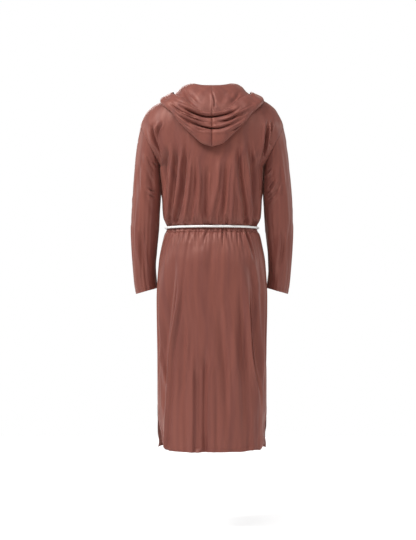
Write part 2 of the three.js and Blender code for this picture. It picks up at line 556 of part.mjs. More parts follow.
// Centre of the waist rope at an angle. It lies a little lower at the front than at the back.
const KNOT_HALF_ANGLE = 3.22;
function waistRopeCentre(angle) {
  const s = Math.sin(radians(angle));
  const z = WAIST_Z + (s > 0 ? 4 * s : 2 * s);
  const drop = NECK_POINT_Z - z;
  const point = smoothBody(angle, drop);
  const outward = bodyNormal(angle, drop).setZ(0).normalize();
  return point.addScaledVector(outward, ROPE_RADIUS + ROPE_CLEARANCE + 0.6);
}

function waistRope() {
  const steps = 60;
  const centres = [];
  for (let i = 0; i <= steps; i++) {
    centres.push(waistRopeCentre(mix(-90 + KNOT_HALF_ANGLE, 270 - KNOT_HALF_ANGLE, i / steps)));
  }
  return named('waist_rope', ropeTube(centres, 8, ROPE_RADIUS), ropeMaterial());
}

const KNOT = { halfWidth: 13, halfDepth: 9, halfHeight: 12, clearance: 2 };
const knotCentre = waistRopeCentre(270);
knotCentre.y = smoothBody(270, NECK_POINT_Z - knotCentre.z).y - KNOT.halfDepth - KNOT.clearance;

function knot(name, centre, halfWidth, halfDepth, halfHeight) {
  const geometry = new THREE.SphereGeometry(1, 16, 8);
  geometry.rotateX(Math.PI / 2);
  geometry.scale(halfWidth, halfDepth, halfHeight);
  const mesh = named(name, geometry, ropeMaterial());
  mesh.position.copy(centre);
  return mesh;
}

// The rope's free ends hang down the front of the skirt, each to a small stopper knot.
const TAILS = [
  { name: 'left', startX: 5, endX: 34, length: 330 },
  { name: 'right', startX: -5, endX: -22, length: 290 },
];
const STOPPER = { halfWidth: 8, halfHeight: 9 };
const TAIL_STAND_OFF = 13;
const TAIL_STEPS = 20;
const TAIL_TUCK = 0.25; // the tails start this far up beside the knot's lowest point

function tailCentres(tail) {
  const top = knotCentre.z - KNOT.halfHeight - SEAM_GAP + TAIL_TUCK;
  const centres = [];
  for (let i = 0; i <= TAIL_STEPS; i++) {
    const share = i / TAIL_STEPS;
    const z = top - tail.length * share;
    const x = mix(tail.startX, tail.endX, share * (2 - share));
    const skirtY = smoothBody(270, NECK_POINT_Z - z).y;
    const settled = THREE.MathUtils.smoothstep(share, 0, 0.35);
    const y = mix(Math.min(knotCentre.y, skirtY - 7), skirtY - TAIL_STAND_OFF, settled);
    centres.push(new THREE.Vector3(x, y, z));
  }
  return centres;
}

function ropeTail(tail) {
  return named(`rope_end_${tail.name}`, ropeTube(tailCentres(tail), 8, ROPE_RADIUS), ropeMaterial());
}

function stopperKnot(tail) {
  const end = tailCentres(tail)[TAIL_STEPS];
  end.z -= STOPPER.halfHeight + SEAM_GAP;
  return knot(`stopper_knot_${tail.name}`, end, STOPPER.halfWidth, STOPPER.halfWidth, STOPPER.halfHeight);
}

const robe = new THREE.Group();
robe.add(
  bodyPanel('back_bodice', 1, BACK_FOLDS, bodiceDrops(4, 6, 5), 34),
  bodyPanel('front_bodice', -1, FRONT_FOLDS, bodiceDrops(4, 6, 5), 26),
  bodyPanel('back_skirt', 1, BACK_FOLDS, skirtDrops(11, 4), 34),
  bodyPanel('front_skirt', -1, FRONT_FOLDS, skirtDrops(9, 4), 26),
  sleevePiece('sleeve_left', 1, 13, 16),
  sleevePiece('sleeve_right', -1, 13, 16),
  hoodHalf('hood_left', 1, 23, 13),
  hoodHalf('hood_right', -1, 23, 13),
  waistRope(),
  knot('rope_knot', knotCentre, KNOT.halfWidth, KNOT.halfDepth, KNOT.halfHeight),
);
for (const tail of TAILS) robe.add(ropeTail(tail), stopperKnot(tail));

export default robe;
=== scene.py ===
# %% [markdown]
# # A hooded monk's robe
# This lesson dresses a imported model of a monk's robe. The robe is empty, yet its cloth keeps the hollow
# form of a worn garment. It hangs from the shoulders, its hood is down on the back and a thin white rope
# is tied round the waist.
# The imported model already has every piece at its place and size, as a stiff wall. Each step below makes
# one of those pieces again, finer and thinner, on the same form.
# Lengths are written in millimetres, as a pattern cutter would, and turned to metres when a mesh is made.
# The front is -Y, up is +Z and +X is the robe's own left. The origin is between the shoulders.

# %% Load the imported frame
import math

import bpy
import numpy as np
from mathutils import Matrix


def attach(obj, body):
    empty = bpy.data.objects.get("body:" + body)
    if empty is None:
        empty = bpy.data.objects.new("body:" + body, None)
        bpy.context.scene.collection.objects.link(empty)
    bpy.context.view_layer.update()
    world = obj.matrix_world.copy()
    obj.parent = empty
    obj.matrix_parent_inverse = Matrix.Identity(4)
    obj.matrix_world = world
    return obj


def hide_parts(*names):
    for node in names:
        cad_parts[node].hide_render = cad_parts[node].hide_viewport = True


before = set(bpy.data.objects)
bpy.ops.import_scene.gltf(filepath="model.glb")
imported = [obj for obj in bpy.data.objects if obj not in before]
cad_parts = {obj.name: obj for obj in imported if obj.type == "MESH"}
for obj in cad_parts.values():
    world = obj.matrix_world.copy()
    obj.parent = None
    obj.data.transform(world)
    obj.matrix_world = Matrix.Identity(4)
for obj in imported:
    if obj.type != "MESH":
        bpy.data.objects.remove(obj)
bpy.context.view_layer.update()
MM = 0.001
print("nodes:", ", ".join(sorted(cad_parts)))

# %% [markdown]
# ## The camera
# The picture to match looks straight at the back of the robe from a few metres away. A camera turned by
# 180 degrees about Z stands behind the robe at half its height. The lens follows from the distance and
# from how much of the robe one pixel covers, so that sizes in the render can be read in millimetres.

# %% Set up the camera
PICTURE_HEIGHT_PX = 540
PIXEL_M = 0.0035
CAMERA_DISTANCE_M = 5.5
CAMERA_HEIGHT_M = -0.6125
CAMERA_SIDE_M = 0.014

camera_data = bpy.data.cameras.new("view_from_behind")
camera_data.lens = camera_data.sensor_width * CAMERA_DISTANCE_M / (PICTURE_HEIGHT_PX * PIXEL_M)
camera = bpy.data.objects.new("view_from_behind", camera_data)
camera.location = (CAMERA_SIDE_M, CAMERA_DISTANCE_M, CAMERA_HEIGHT_M)
camera.rotation_euler = (math.radians(90), 0, math.radians(180))
bpy.context.scene.collection.objects.link(camera)
bpy.context.scene.camera = camera
print(f"lens {camera_data.lens:.1f} mm")

# %% [markdown]
# ## Smooth curves through short tables
# A robe's outline can be told with a few measurements taken at a few heights. A curve that passes through
# each row of such a table, and never swings past its rows, gives every height between. The same kind of
# curve was used for the stiff walls, so the fine cloth lands exactly on them.

# %% Curves through tables
def curve_through(inputs, outputs):
    slopes = np.diff(outputs) / np.diff(inputs)
    before, after = slopes[:-1], slopes[1:]
    same_way = before * after > 0
    tangents = np.where(same_way, 2 * before * after / np.where(same_way, before + after, 1), 0)
    tangents = np.concatenate([slopes[:1], tangents, slopes[-1:]])

    def height(value):
        value = np.asarray(value, float)
        row = np.clip(np.searchsorted(inputs, value) - 1, 0, len(inputs) - 2)
        span = inputs[row + 1] - inputs[row]
        run = (value - inputs[row]) / span
        t = np.clip(run, 0, 1)
        level = outputs[row] + (outputs[row + 1] - outputs[row]) * t * t * (3 - 2 * t)
        bend = span * t * (1 - t) * ((1 - t) * tangents[row] - t * tangents[row + 1])
        return level + bend + (run - t) * span * np.where(run < 0, tangents[row], tangents[row + 1])

    return height


def curves_through(columns, rows):
    """One curve for each column of a table but the first, which is the input."""
    table = np.array(rows, float)
    return {name: curve_through(table[:, 0], table[:, i]) for i, name in enumerate(columns) if i}


def mix(a, b, share):
    return a + (b - a) * share


def smoothstep(value, low, high):
    t = np.clip((value - low) / (high - low), 0, 1)
    return t * t * (3 - 2 * t)


def unit(vectors):
    return vectors / np.maximum(np.linalg.norm(vectors, axis=-1, keepdims=True), 1e-12)


test_curve = curve_through(np.arange(3.0), np.array([0.0, 1, 4]))
print("a curve through 0, 1 and 4 reads", round(float(test_curve(1.5)), 3), "between the last two")


# %% [markdown]
# ## The robe's body
# The body is a stack of rings. A ring is known by its drop, which is how far it lies below the neck point
# at the side, and a place on it by an angle: 0 at the robe's left side, 90 at the middle of the back,
# 180 at the right side and 270 at the middle of the front. The table gives each ring's reach to the side,
# to the back and to the front. Near the armhole the side opens into an ellipse for the sleeve.

# %% Rings of the robe's body
WAIST_Z = -466
HEM_Z = -1235
SIDE_Y = 2
NECK_POINT_Z = 22
SHOULDER_X, SHOULDER_Z = 250.5, -112
UNDERARM_X, UNDERARM_Z = 180.5, -250
ARMHOLE_HALF_DEPTH = 62

BODY_COLUMNS = ("drop", "side_x", "side_z", "back_y", "back_z", "front_y", "front_z", "squareness")
BODY_RINGS = [
    (0, 80, 22, 60, 8, -84, -70, 1),
    (20, 122, 3, 80, -9, -97, -77, 1),
    (45, 172, -21, 98, -32, -107, -84, 0.98),
    (72, 214, -44, 109, -57, -114, -92, 0.94),
    (101, 238, -75, 116, -83, -118, -101, 0.9),
    (134, 250.5, -112, 120, -112, -121, -112, 0.87),
    (178, 228.2, -156, 125, -156, -126, -156, 0.86),
    (225, 204.4, -203, 127, -203, -129, -203, 0.85),
    (272, 180.5, -250, 127, -250, -130, -250, 0.85),
    (322, 177, -300, 125, -300, -129, -300, 0.85),
    (365, 175, -343, 123, -343, -127, -343, 0.85),
    (415, 173, -393, 120, -393, -124, -393, 0.85),
    (450, 170, -428, 115, -428, -119, -428, 0.86),
    (488, 156, -466, 99, -466, -105, -466, 0.88),
    (512, 167, -490, 111, -490, -114, -490, 0.88),
    (547, 175, -525, 124, -525, -121, -525, 0.88),
    (612, 186, -590, 136, -590, -129, -590, 0.87),
    (739, 193, -717, 139, -717, -134, -717, 0.85),
    (922, 190.5, -900, 134, -900, -138, -900, 0.82),
    (1257, 190, -1235, 137, -1235, -145, -1235, 0.8),
]
body = curves_through(BODY_COLUMNS, BODY_RINGS)
SHOULDER_DROP = NECK_POINT_Z - SHOULDER_Z
UNDERARM_DROP = NECK_POINT_Z - UNDERARM_Z
HEM_DROP = NECK_POINT_Z - HEM_Z
ARMHOLE_BLEND = 2.2
ARMHOLE_SOFTNESS = 2
SEAM_BAND = 0.02  # the sine of the angle within which a point counts as on the side seam
OFF_SEAM_ANGLE = 1.5


def smooth_body(angle, drop, facing):
    """The robe's surface before any fold. facing is 1 on the back and -1 on the front."""
    c, s = np.cos(np.radians(angle)), np.sin(np.radians(angle))
    share = np.clip((drop - SHOULDER_DROP) / (UNDERARM_DROP - SHOULDER_DROP), 0, 1)
    roundness = 0.5 + ARMHOLE_SOFTNESS * np.abs(s)
    opening = ARMHOLE_HALF_DEPTH * (4 * share * (1 - share)) ** roundness
    at_seam = ((share > 0) & (share < 1)) * (1 - np.abs(s)) ** ARMHOLE_BLEND
    side_x = mix(body["side_x"](drop), mix(SHOULDER_X, UNDERARM_X, share), at_seam)
    square = body["squareness"](drop)
    reach_y = np.where(facing > 0, body["back_y"](drop), body["front_y"](drop))
    middle_z = np.where(facing > 0, body["back_z"](drop), body["front_z"](drop))
    y = SIDE_Y + (reach_y - SIDE_Y) * np.abs(s) ** square
    y = y + facing * opening * (1 - np.abs(s)) ** ARMHOLE_BLEND
    x = np.sign(c) * side_x * np.abs(c) ** square
    return np.stack(np.broadcast_arrays(x, y, mix(body["side_z"](drop), middle_z, s * s)), axis=-1)


def on_side_seam(angle):
    return np.abs(np.sin(np.radians(angle))) < SEAM_BAND


def body_normal(angle, drop, facing):
    """The outward direction of the smooth body, taken a little off the side seam."""
    turned = OFF_SEAM_ANGLE * facing * np.sign(np.cos(np.radians(angle)))
    angle = angle + np.where(on_side_seam(angle), turned, 0)
    along = smooth_body(angle + 0.5, drop, facing) - smooth_body(angle - 0.5, drop, facing)
    down = smooth_body(angle, drop + 1, facing) - smooth_body(angle, drop - 1, facing)
    return unit(np.cross(down, along))


waist_reach = smooth_body(np.array([0.0, 90.0, 270.0]), NECK_POINT_Z - WAIST_Z, np.array([1, 1, -1]))
print("waist ring reaches", waist_reach.round().tolist())

# %% [markdown]
# ## The rope's route
# Cords are settled before anything else, because a cord has a fixed length and must lie somewhere. The
# rope goes once round the waist, is tied in front, and its two ends hang down the skirt. Each end is a
# gentle curve that leaves the knot and then follows the skirt at a short distance.

# %% Where the rope runs
ROPE_RADIUS = 4
ROPE_STAND_OFF = ROPE_RADIUS + 1.1
ROPE_RISE_BEHIND, ROPE_DIP_IN_FRONT = 4, 2
KNOT_HALF_ANGLE = 3.22
KNOT_HALF_DEPTH, KNOT_HALF_HEIGHT = 9, 12
KNOT_CLEARANCE = 2
SEAM_GAP = 0.36
TAIL_TUCK = 0.25
TAIL_STAND_OFF, TAIL_LEAST_STAND_OFF = 13, 7
TAIL_SETTLED = 0.35  # share of its length after which a tail follows the skirt
TAIL_STEPS = 20
STOPPER_HALF_HEIGHT = 9
TAILS = {
    "left": {"start_x": 5, "end_x": 34, "length": 330},
    "right": {"start_x": -5, "end_x": -22, "length": 290},
}


def facing_of(angle):
    return np.where(np.sin(np.radians(angle)) >= 0, 1, -1)


def waist_rope_centre(angle):
    s = np.sin(np.radians(angle))
    drop = NECK_POINT_Z - WAIST_Z - np.where(s > 0, ROPE_RISE_BEHIND * s, ROPE_DIP_IN_FRONT * s)
    out = body_normal(angle, drop, facing_of(angle)) * (1, 1, 0)
    return smooth_body(angle, drop, facing_of(angle)) + unit(out) * ROPE_STAND_OFF


knot_centre = waist_rope_centre(np.float64(270))
knot_centre[1] = smooth_body(270.0, NECK_POINT_Z - knot_centre[2], -1)[1] - KNOT_HALF_DEPTH - KNOT_CLEARANCE


def tail_centres(tail):
    share = np.linspace(0, 1, TAIL_STEPS + 1)
    z = knot_centre[2] - KNOT_HALF_HEIGHT - SEAM_GAP + TAIL_TUCK - tail["length"] * share
    x = mix(tail["start_x"], tail["end_x"], share * (2 - share))
    skirt_y = smooth_body(270.0, NECK_POINT_Z - z, -1)[..., 1]
    settled = smoothstep(share, 0, TAIL_SETTLED)
    y = mix(np.minimum(knot_centre[1], skirt_y - TAIL_LEAST_STAND_OFF), skirt_y - TAIL_STAND_OFF, settled)
    return np.stack([x, y, z], axis=-1)


print("knot at", knot_centre.round(1).tolist())

# %% [markdown]
# ## Twisted rope
# The rope is three strands laid round each other. A plain tube would look like wire, so the tube's
# section gets three lobes and turns as it goes along. One turn takes about three diameters, as in a real
# soft cotton rope. The ends are closed, so that each piece is one clean body.

# %% Make twisted rope
ROPE_PITCH = 26
ROPE_SIDES = 24
ROPE_STEP = 1.7
STRANDS = 3
STRAND_GROOVE = 0.2  # share of the radius
STRAND_FULLNESS = 0.6
SLANTED_UP = (0.3, 0.2, 1.0)  # no rope here runs this way
WAIST_POINTS = 61


def new_mesh_object(name, points_mm, faces, smooth=True):
    mesh = bpy.data.meshes.new(name)
    mesh.from_pydata((np.asarray(points_mm) * MM).tolist(), [], faces)
    if smooth:
        mesh.shade_smooth()
    piece = bpy.data.objects.new(name, mesh)
    bpy.context.scene.collection.objects.link(piece)
    return piece


def lengths_along(grid, axis):
    """Running length along a line, or along each row or column of a grid."""
    steps = np.linalg.norm(np.diff(grid, axis=axis), axis=-1)
    zero = np.zeros_like(np.take(steps, [0], axis=axis))
    return np.concatenate([zero, np.cumsum(steps, axis=axis)], axis=axis)


def rounded_path(points, step):
    """A smooth line through points, with a point about every step millimetres."""
    points = np.asarray(points, float)
    padded = np.vstack([2 * points[0] - points[1], points, 2 * points[-1] - points[-2]])
    line = []
    for a, b, c, d in zip(padded, padded[1:], padded[2:], padded[3:]):
        t = np.linspace(0, 1, max(2, math.ceil(np.linalg.norm(c - b) / step * 2)), endpoint=False)[:, None]
        start = 2 * b + (c - a) * t
        line.append(0.5 * (start + (2 * a - 5 * b + 4 * c - d) * t**2 + (3 * b - a - 3 * c + d) * t**3))
    line = np.vstack(line + [points[-1:]])
    run = lengths_along(line, 0)
    at = np.linspace(0, run[-1], max(2, round(run[-1] / step)) + 1)
    return np.stack([np.interp(at, run, line[:, i]) for i in range(3)], axis=-1)


def frames_along(line):
    """Two directions square to a line at each of its points, turning as little as they can."""
    ahead = unit(np.gradient(line, axis=0))
    side = unit(np.cross(ahead[0], SLANTED_UP))
    sides = []
    for direction in ahead:
        side = unit(side - direction * np.dot(side, direction))
        sides.append(side)
    sides = np.array(sides)
    return sides, np.cross(ahead, sides)


def tube_faces(rings, sides):
    faces = []
    for i in range(rings - 1):
        for j in range(sides):
            k = (j + 1) % sides
            faces.append((i * sides + j, i * sides + k, (i + 1) * sides + k, (i + 1) * sides + j))
    first, last = rings * sides, rings * sides + 1
    for j in range(sides):
        k = (j + 1) % sides
        faces.append((first, k, j))
        faces.append((last, (rings - 1) * sides + j, (rings - 1) * sides + k))
    return faces


def twisted_rope(name, paths, radius, step=ROPE_STEP):
    """A twisted rope along each of the given paths, joined in one mesh."""
    points, faces = [], []
    turn = np.linspace(0, 2 * np.pi, ROPE_SIDES, endpoint=False)
    for path in paths:
        line = rounded_path(path, step)
        side, up = frames_along(line)
        twist = np.arange(len(line))[:, None] * step / ROPE_PITCH * 2 * np.pi
        lobes = np.abs(np.cos(STRANDS / 2 * (turn - twist))) ** STRAND_FULLNESS
        reach = radius * (1 - STRAND_GROOVE + STRAND_GROOVE * lobes)
        ring = side[:, None] * (reach * np.cos(turn))[..., None]
        ring = ring + up[:, None] * (reach * np.sin(turn))[..., None]
        start = sum(len(p) for p in points)
        points.append((line[:, None] + ring).reshape(-1, 3))
        points.append(line[[0, -1]])
        faces += [tuple(start + i for i in face) for face in tube_faces(len(line), ROPE_SIDES)]
    return new_mesh_object(name, np.vstack(points), faces)


waist_angles = np.linspace(-90 + KNOT_HALF_ANGLE, 270 - KNOT_HALF_ANGLE, WAIST_POINTS)
waist_line = waist_rope_centre(waist_angles)
waist_rope = twisted_rope("rope_round_waist", [waist_line], ROPE_RADIUS)
print("rope round the waist:", len(waist_rope.data.polygons), "faces")

# %% [markdown]
# ## The knot and the hanging ends
# A belt like this is tied with a flat knot: each side makes a loop round the other, and the two ends leave
# below. The knot is drawn as its two real strands instead of a ball. The ends are finished with a small
# overhand knot, so the last centimetre of rope stands out below it.

# %% Tie the knot
LOOP = [  # the strand that comes from the robe's left, measured from the knot's centre
    (17, 2, 2.5), (12.5, 4.2, 3.4), (7.5, 3.4, 3.6), (2.5, -1.5, 4.4), (-3, -4.4, 5.8),
    (-7.8, -4.9, 5.6), (-10.4, -5, 0), (-7.8, -4.9, -5.6), (-3, -4.4, -5.8), (2.5, -1.5, -4.4),
    (7.5, 3.4, -3.8), (11, 3.6, -6.2), (9.6, 1.8, -10), (6.2, 0, -12.6),
]
OTHER_DEPTHS = [2, 4.2, 4.4, 4.2, 1.2, -3.6, -5, -3.6, 1.2, 4.2, 4.4, 3.8, 1.8, 0]
KNOT_ROPE_RADIUS, KNOT_STEP = ROPE_RADIUS * 0.94, 1.2  # the rope is squeezed in it

loop_left = knot_centre + np.array(LOOP)
loop_right = knot_centre + np.array(LOOP) * (-1, 1, 1)
loop_right[:, 1] = knot_centre[1] + np.array(OTHER_DEPTHS)
loop_left[0], loop_right[0] = waist_line[0], waist_line[-1]
knot = twisted_rope("rope_knot_tied", [loop_left, loop_right], KNOT_ROPE_RADIUS, step=KNOT_STEP)
print("knot:", len(knot.data.polygons), "faces")

# %% Hang the ends
TREFOIL_TURN = np.linspace(0.35, 2 * np.pi - 0.15, 40)  # a little open, so that it doesn't meet itself
TREFOIL_SCALE = (1.5, 1.25, 1.75)
TREFOIL_DEPTH = 1.9
STUB = [(0, 0, 8), (0.4, 0, 0), (0, 0.3, -9), (0.3, 0, -15)]  # through the stopper knot and out below
STOPPER_RADIUS, STOPPER_STEP = ROPE_RADIUS * 0.78, 1  # pulled tight

t = TREFOIL_TURN
trefoil_x, trefoil_z = np.sin(t) + 2 * np.sin(2 * t), np.cos(t) - 2 * np.cos(2 * t)
trefoil = np.stack([trefoil_x, -np.sin(3 * t) * TREFOIL_DEPTH, trefoil_z], axis=-1)
rope_ends, stoppers = {}, {}
for side, tail in TAILS.items():
    line = tail_centres(tail)
    rope_ends[side] = twisted_rope(f"rope_end_hanging_{side}", [line], ROPE_RADIUS)
    middle = line[-1] - (0, 0, STOPPER_HALF_HEIGHT + SEAM_GAP)
    paths = [middle + trefoil * TREFOIL_SCALE, middle + np.array(STUB)]
    stoppers[side] = twisted_rope(f"rope_stopper_{side}", paths, STOPPER_RADIUS, step=STOPPER_STEP)
    print(side, "end", tail["length"], "mm long")

# %% [markdown]
# A piece that stands for one of the imported model's nodes hides that node. A hanging end is also a cord:
# its length and thickness are given in the tables above, and its route, the way it hangs, is worked out
# again in metres.

for piece, node in ((waist_rope, "waist_rope"), (knot, "rope_knot")):
    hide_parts(node)
for side, tail in TAILS.items():
    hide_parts(f"rope_end_{side}")
    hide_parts(f"stopper_knot_{side}")
    route = rounded_path(tail_centres(tail), ROPE_STEP) * MM
rope_pieces = [waist_rope, knot, *rope_ends.values(), *stoppers.values()]
print(len(rope_pieces), "pieces of rope")

# %% [markdown]
# ## Creases placed one by one
# Thin knit that a belt and a sleeve pull on makes creases that start sharp, bend and fade. A simulation
# would put them anywhere. Here each crease is drawn as on a sewing pattern: a line of a few points seen
# from behind or from in front, a half width and a depth, below zero for a valley and above for a ridge.
# A valley pushes up a low rounded lip on both sides, because cloth that goes in somewhere has to come
# out beside it. A crease fades at its ends, unless it ends at the rope or at the hem.

# %% Height of a list of creases
CREASE_STRENGTH = 1.3
CREASE_NARROWING = 0.8
CREASE_STEP = 6
CREASE_REACH = 4  # in half widths
LEAN = 0.35
LIP_SHARE, LIP_PLACE, LIP_WIDTH = 0.34, 2.1, 0.9
START_TAPER, END_TAPER, TIED_END_TAPER = 0.32, 0.5, 0.9  # shares of the length
TIED_ABOVE, TIED_BELOW, TIED_AT_HEM = 12, 30, 22  # how near an end has to be to the rope or the hem


def creases_from(text):
    """Creases written one a line, as half width, depth: across below, across below, and so on.

    Below is the distance below the shoulders."""
    creases = []
    for line in text.strip().splitlines():
        if not line.startswith("#"):
            size, places = line.split(":")
            width, depth = map(float, size.split())
            points = np.array([place.split() for place in places.split(",")], float) * (1, -1)
            creases.append((width, depth, points))
    return creases


def crease_taper(run, top_z, bottom_z):
    tied_above = abs(top_z - WAIST_Z) < TIED_ABOVE
    tied_below = abs(bottom_z - WAIST_Z) < TIED_BELOW or bottom_z < HEM_Z + TIED_AT_HEM
    taper = 1 if tied_above else smoothstep(run, 0, START_TAPER)
    return taper * (1 if tied_below else smoothstep(1 - run, 0, TIED_END_TAPER if tied_above else END_TAPER))


def crease_heights(across, z, creases):
    """The height that creases give to each place, seen flat."""
    height = np.zeros(across.shape)
    for stated_width, depth, points in creases:
        width = stated_width * CREASE_NARROWING
        line = rounded_path([(x, 0, y) for x, y in points], CREASE_STEP)[:, [0, 2]]
        low, high = line.min(0) - CREASE_REACH * width, line.max(0) + CREASE_REACH * width
        near = (across > low[0]) & (across < high[0]) & (z > low[1]) & (z < high[1])
        if not near.any():
            continue
        spot = np.stack([across[near], z[near]], axis=-1)[:, None]
        step = np.diff(line, axis=0)
        length = np.linalg.norm(step, axis=1)
        along = np.clip(((spot - line[:-1]) * step).sum(-1) / length**2, 0, 1)
        off = spot - line[:-1] - along[..., None] * step
        away = np.linalg.norm(off, axis=-1)
        nearest = away.argmin(1)
        pick = np.arange(len(nearest)), nearest
        run = (np.cumsum(length)[nearest] - length[nearest] * (1 - along[pick])) / length.sum()
        beside = step[nearest, 0] * off[pick][:, 1] - step[nearest, 1] * off[pick][:, 0]
        side = np.tanh(beside / length[nearest] / width)
        d = away[pick] / (width * (1 + LEAN * side))
        profile = np.exp(-(d**2)) - LIP_SHARE * np.exp(-(((d - LIP_PLACE) / LIP_WIDTH) ** 2))
        height[near] += CREASE_STRENGTH * depth * crease_taper(run, line[0, 1], line[-1, 1]) * profile
    return height


lone_valley = creases_from("5 -4: 0 700, 0 900")
print("a valley 4 deep reads", crease_heights(np.zeros(1), np.full(1, -800.0), lone_valley).round(2).tolist())


# %% [markdown]
# The folds below run down from the shoulder blades to the belt, gather there, and open again into the
# skirt. The deepest ones are beside the arms, where the sleeve pulls on the body.

# %% Creases of the back
BACK_CREASES = creases_from("""
# the fold between sleeve and body, and the drag lines that feed it, robe's left
6 -12: 206 106, 203 132, 196 164, 187 189, 179 212, 177 240
6 -5: 170 98, 177 120, 186 136, 186 156, 181 182
6 3.5: 186 100, 192 128, 191 152, 184 180
6 -5: 209 172, 195 200, 187 222, 179 244
# the same, robe's right
5.5 -13: -196 84, -194 116, -192 141, -189 161, -185 189, -178 222, -177 262
5 -5: -211 92, -205 122, -200 152
6 4: -202 100, -199 126, -196 156, -190 184
4 -3.5: -186 176, -194 172, -203 176, -212 186
# on the sleeves
4 -4: 204 238, 194 248, 183 259
8 -3.5: 232 255, 220 284, 206 312, 196 330
7 3: 238 200, 226 236, 210 268, 198 292
4 -3.5: 226 322, 210 337, 190 341
4 3: 222 334, 208 346, 190 350
4 -3: 222 348, 206 358, 190 360
6 3: 262 165, 267 230, 271 300, 275 380
7 -3: 250 240, 252 300, 250 360
4 4.5: -178 358, -198 346, -212 330, -226 298
5 -4.5: -181 340, -199 327, -211 309, -220 284
4 4: -177 302, -190 284, -205 267
4 -4: -178 288, -192 272, -207 255
5 -4.5: -182 374, -204 364, -222 342, -232 318
5 3.5: -222 356, -236 330, -243 300
6 3: -244 130, -261 217, -271 300, -278 400
7 -3: -236 240, -243 300, -246 370
8 -4: 248 430, 246 500, 238 570, 226 630
8 3: 262 440, 260 520, 252 600, 242 660
8 -4: -252 440, -250 510, -243 580, -232 640
8 3.5: -234 450, -233 520, -228 590, -220 650
# down the back, from the robe's left to the right
8 4: 170 215, 170 268, 168 330, 163 390
7 -8: 147 165, 155 220, 161 274, 166 330, 164 400
5 5: 136 170, 137 247, 141 298, 146 349, 153 407, 157 452
8 -9: 121 160, 124 230, 127 285, 132 349, 138 400, 143 454
6 5.5: 98 170, 107 250, 112 318, 121 380, 136 446
8 -8: 90 140, 90 219, 95 288, 102 346, 111 400, 122 440
7 4.5: 72 215, 75 288, 81 350, 89 402, 100 452
8 -4.5: 56 210, 54 290, 59 340, 68 400, 76 440
7 2.5: 40 240, 40 310, 46 380, 52 440
9 -6: 14 250, 19 318, 21 373, 20 414, 14 456
11 6: -24 210, -22 270, -17 330, -4 392, 6 446
8 -6: -56 215, -51 270, -46 332, -40 395, -30 445
9 3: -72 200, -72 270, -70 330, -66 400, -62 450
6 -3: -84 330, -84 380, -80 430, -78 452
8 -8.5: -90 160, -95 230, -99 288, -107 346, -114 390, -118 450
7 5: -120 230, -127 300, -131 350, -134 400, -134 450
10 -11: -126 150, -133 199, -141 247, -145 298, -149 359, -153 402, -151 452
6 4: -162 195, -163 260, -165 320, -164 390
# just above the belt
4 -2.5: 64 408, 60 430, 58 456
3.5 2.5: 36 420, 35 440, 34 458
3.5 -2.5: 8 424, 7 442, 6 458
3.5 2.5: -18 420, -20 440, -21 458
4 -3: -50 410, -51 434, -51 458
# just below the belt
3.4 -3.2: 127 468, 130 500, 138 560
3.2 -3: 111 468, 113 500, 118 548
3.2 -3.4: 95 468, 96 496, 99 532
3 -3: 75 468, 76 492, 77 524
3.2 -3.6: 55 468, 55 498, 54 540
3 -3: 43 468, 43 488, 42 516
4 -6: 15 468, 20 484, 26 506, 30 540
3.2 3: 6 470, 10 488, 16 514
3.2 -3.6: -5 468, -5 494, -6 530
3 -3: -20 468, -21 490, -22 518
3.6 -4.4: -37 468, -37 500, -38 552
3 -3: -50 468, -51 490, -52 524
3 -3.4: -69 468, -70 494, -72 532
3.4 -3.8: -86 468, -88 500, -91 550
3.2 -3: -101 468, -104 500, -109 560
4.5 -5.5: -114 468, -122 492, -134 528, -146 575, -154 620
5 4: -106 470, -113 496, -124 532, -136 580
# the skirt
9 6.5: 104 560, 107 640, 115 730, 131 830, 142 920, 148 1040, 156 1140, 160 1225
4.5 -5: 116 590, 119 660, 127 735, 143 835, 154 925, 160 1040, 167 1135, 170 1190
2.8 2.2: 107 620, 109 660, 117 730, 133 830, 144 920, 150 1040, 158 1140, 161 1225
15 -9: 128 545, 134 620, 142 690, 152 780, 163 900, 172 1040
13 -5: 100 700, 97 800, 99 914, 100 1050, 106 1180
9 4.5: 66 860, 66 960, 66 1080, 68 1230
12 -5: 46 900, 47 1000, 48 1120, 50 1220
11 -6.5: 22 850, 24 960, 26 1060, 26 1150, 24 1230
14 4: 2 900, 0 1020, -2 1150, -4 1236
13 -5: -20 700, -34 840, -44 960, -50 1080, -54 1190
16 4: -66 760, -78 900, -88 1040, -94 1200
14 -5: -96 680, -104 820, -112 960, -122 1100, -130 1220
9 6.5: -119 640, -122 740, -126 840, -133 920, -145 980, -155 1030, -163 1095, -168 1150
4.5 -5: -131 660, -134 740, -138 840, -145 920, -157 975, -168 1030, -176 1095
2.8 2.2: -122 690, -124 740, -128 840, -135 920, -147 980, -157 1030, -165 1095, -170 1150
13 -9: -140 600, -146 740, -152 850, -162 940, -176 1020, -184 1080
6 4.5: 182 850, 178 900, 167 960, 156 1030, 150 1080
14 -6: -126 560, -140 640, -156 720
30 4: 30 520, 34 570, 36 640
40 4: -60 510, -66 580, -70 660
5 3: 150 1180, 158 1206, 160 1230
""")
print(len(BACK_CREASES), "creases on the back")

# %% [markdown]
# The picture doesn't show the front. Its creases are of the same kind and number: they hang from the
# bust, gather at the knot and open into the skirt.

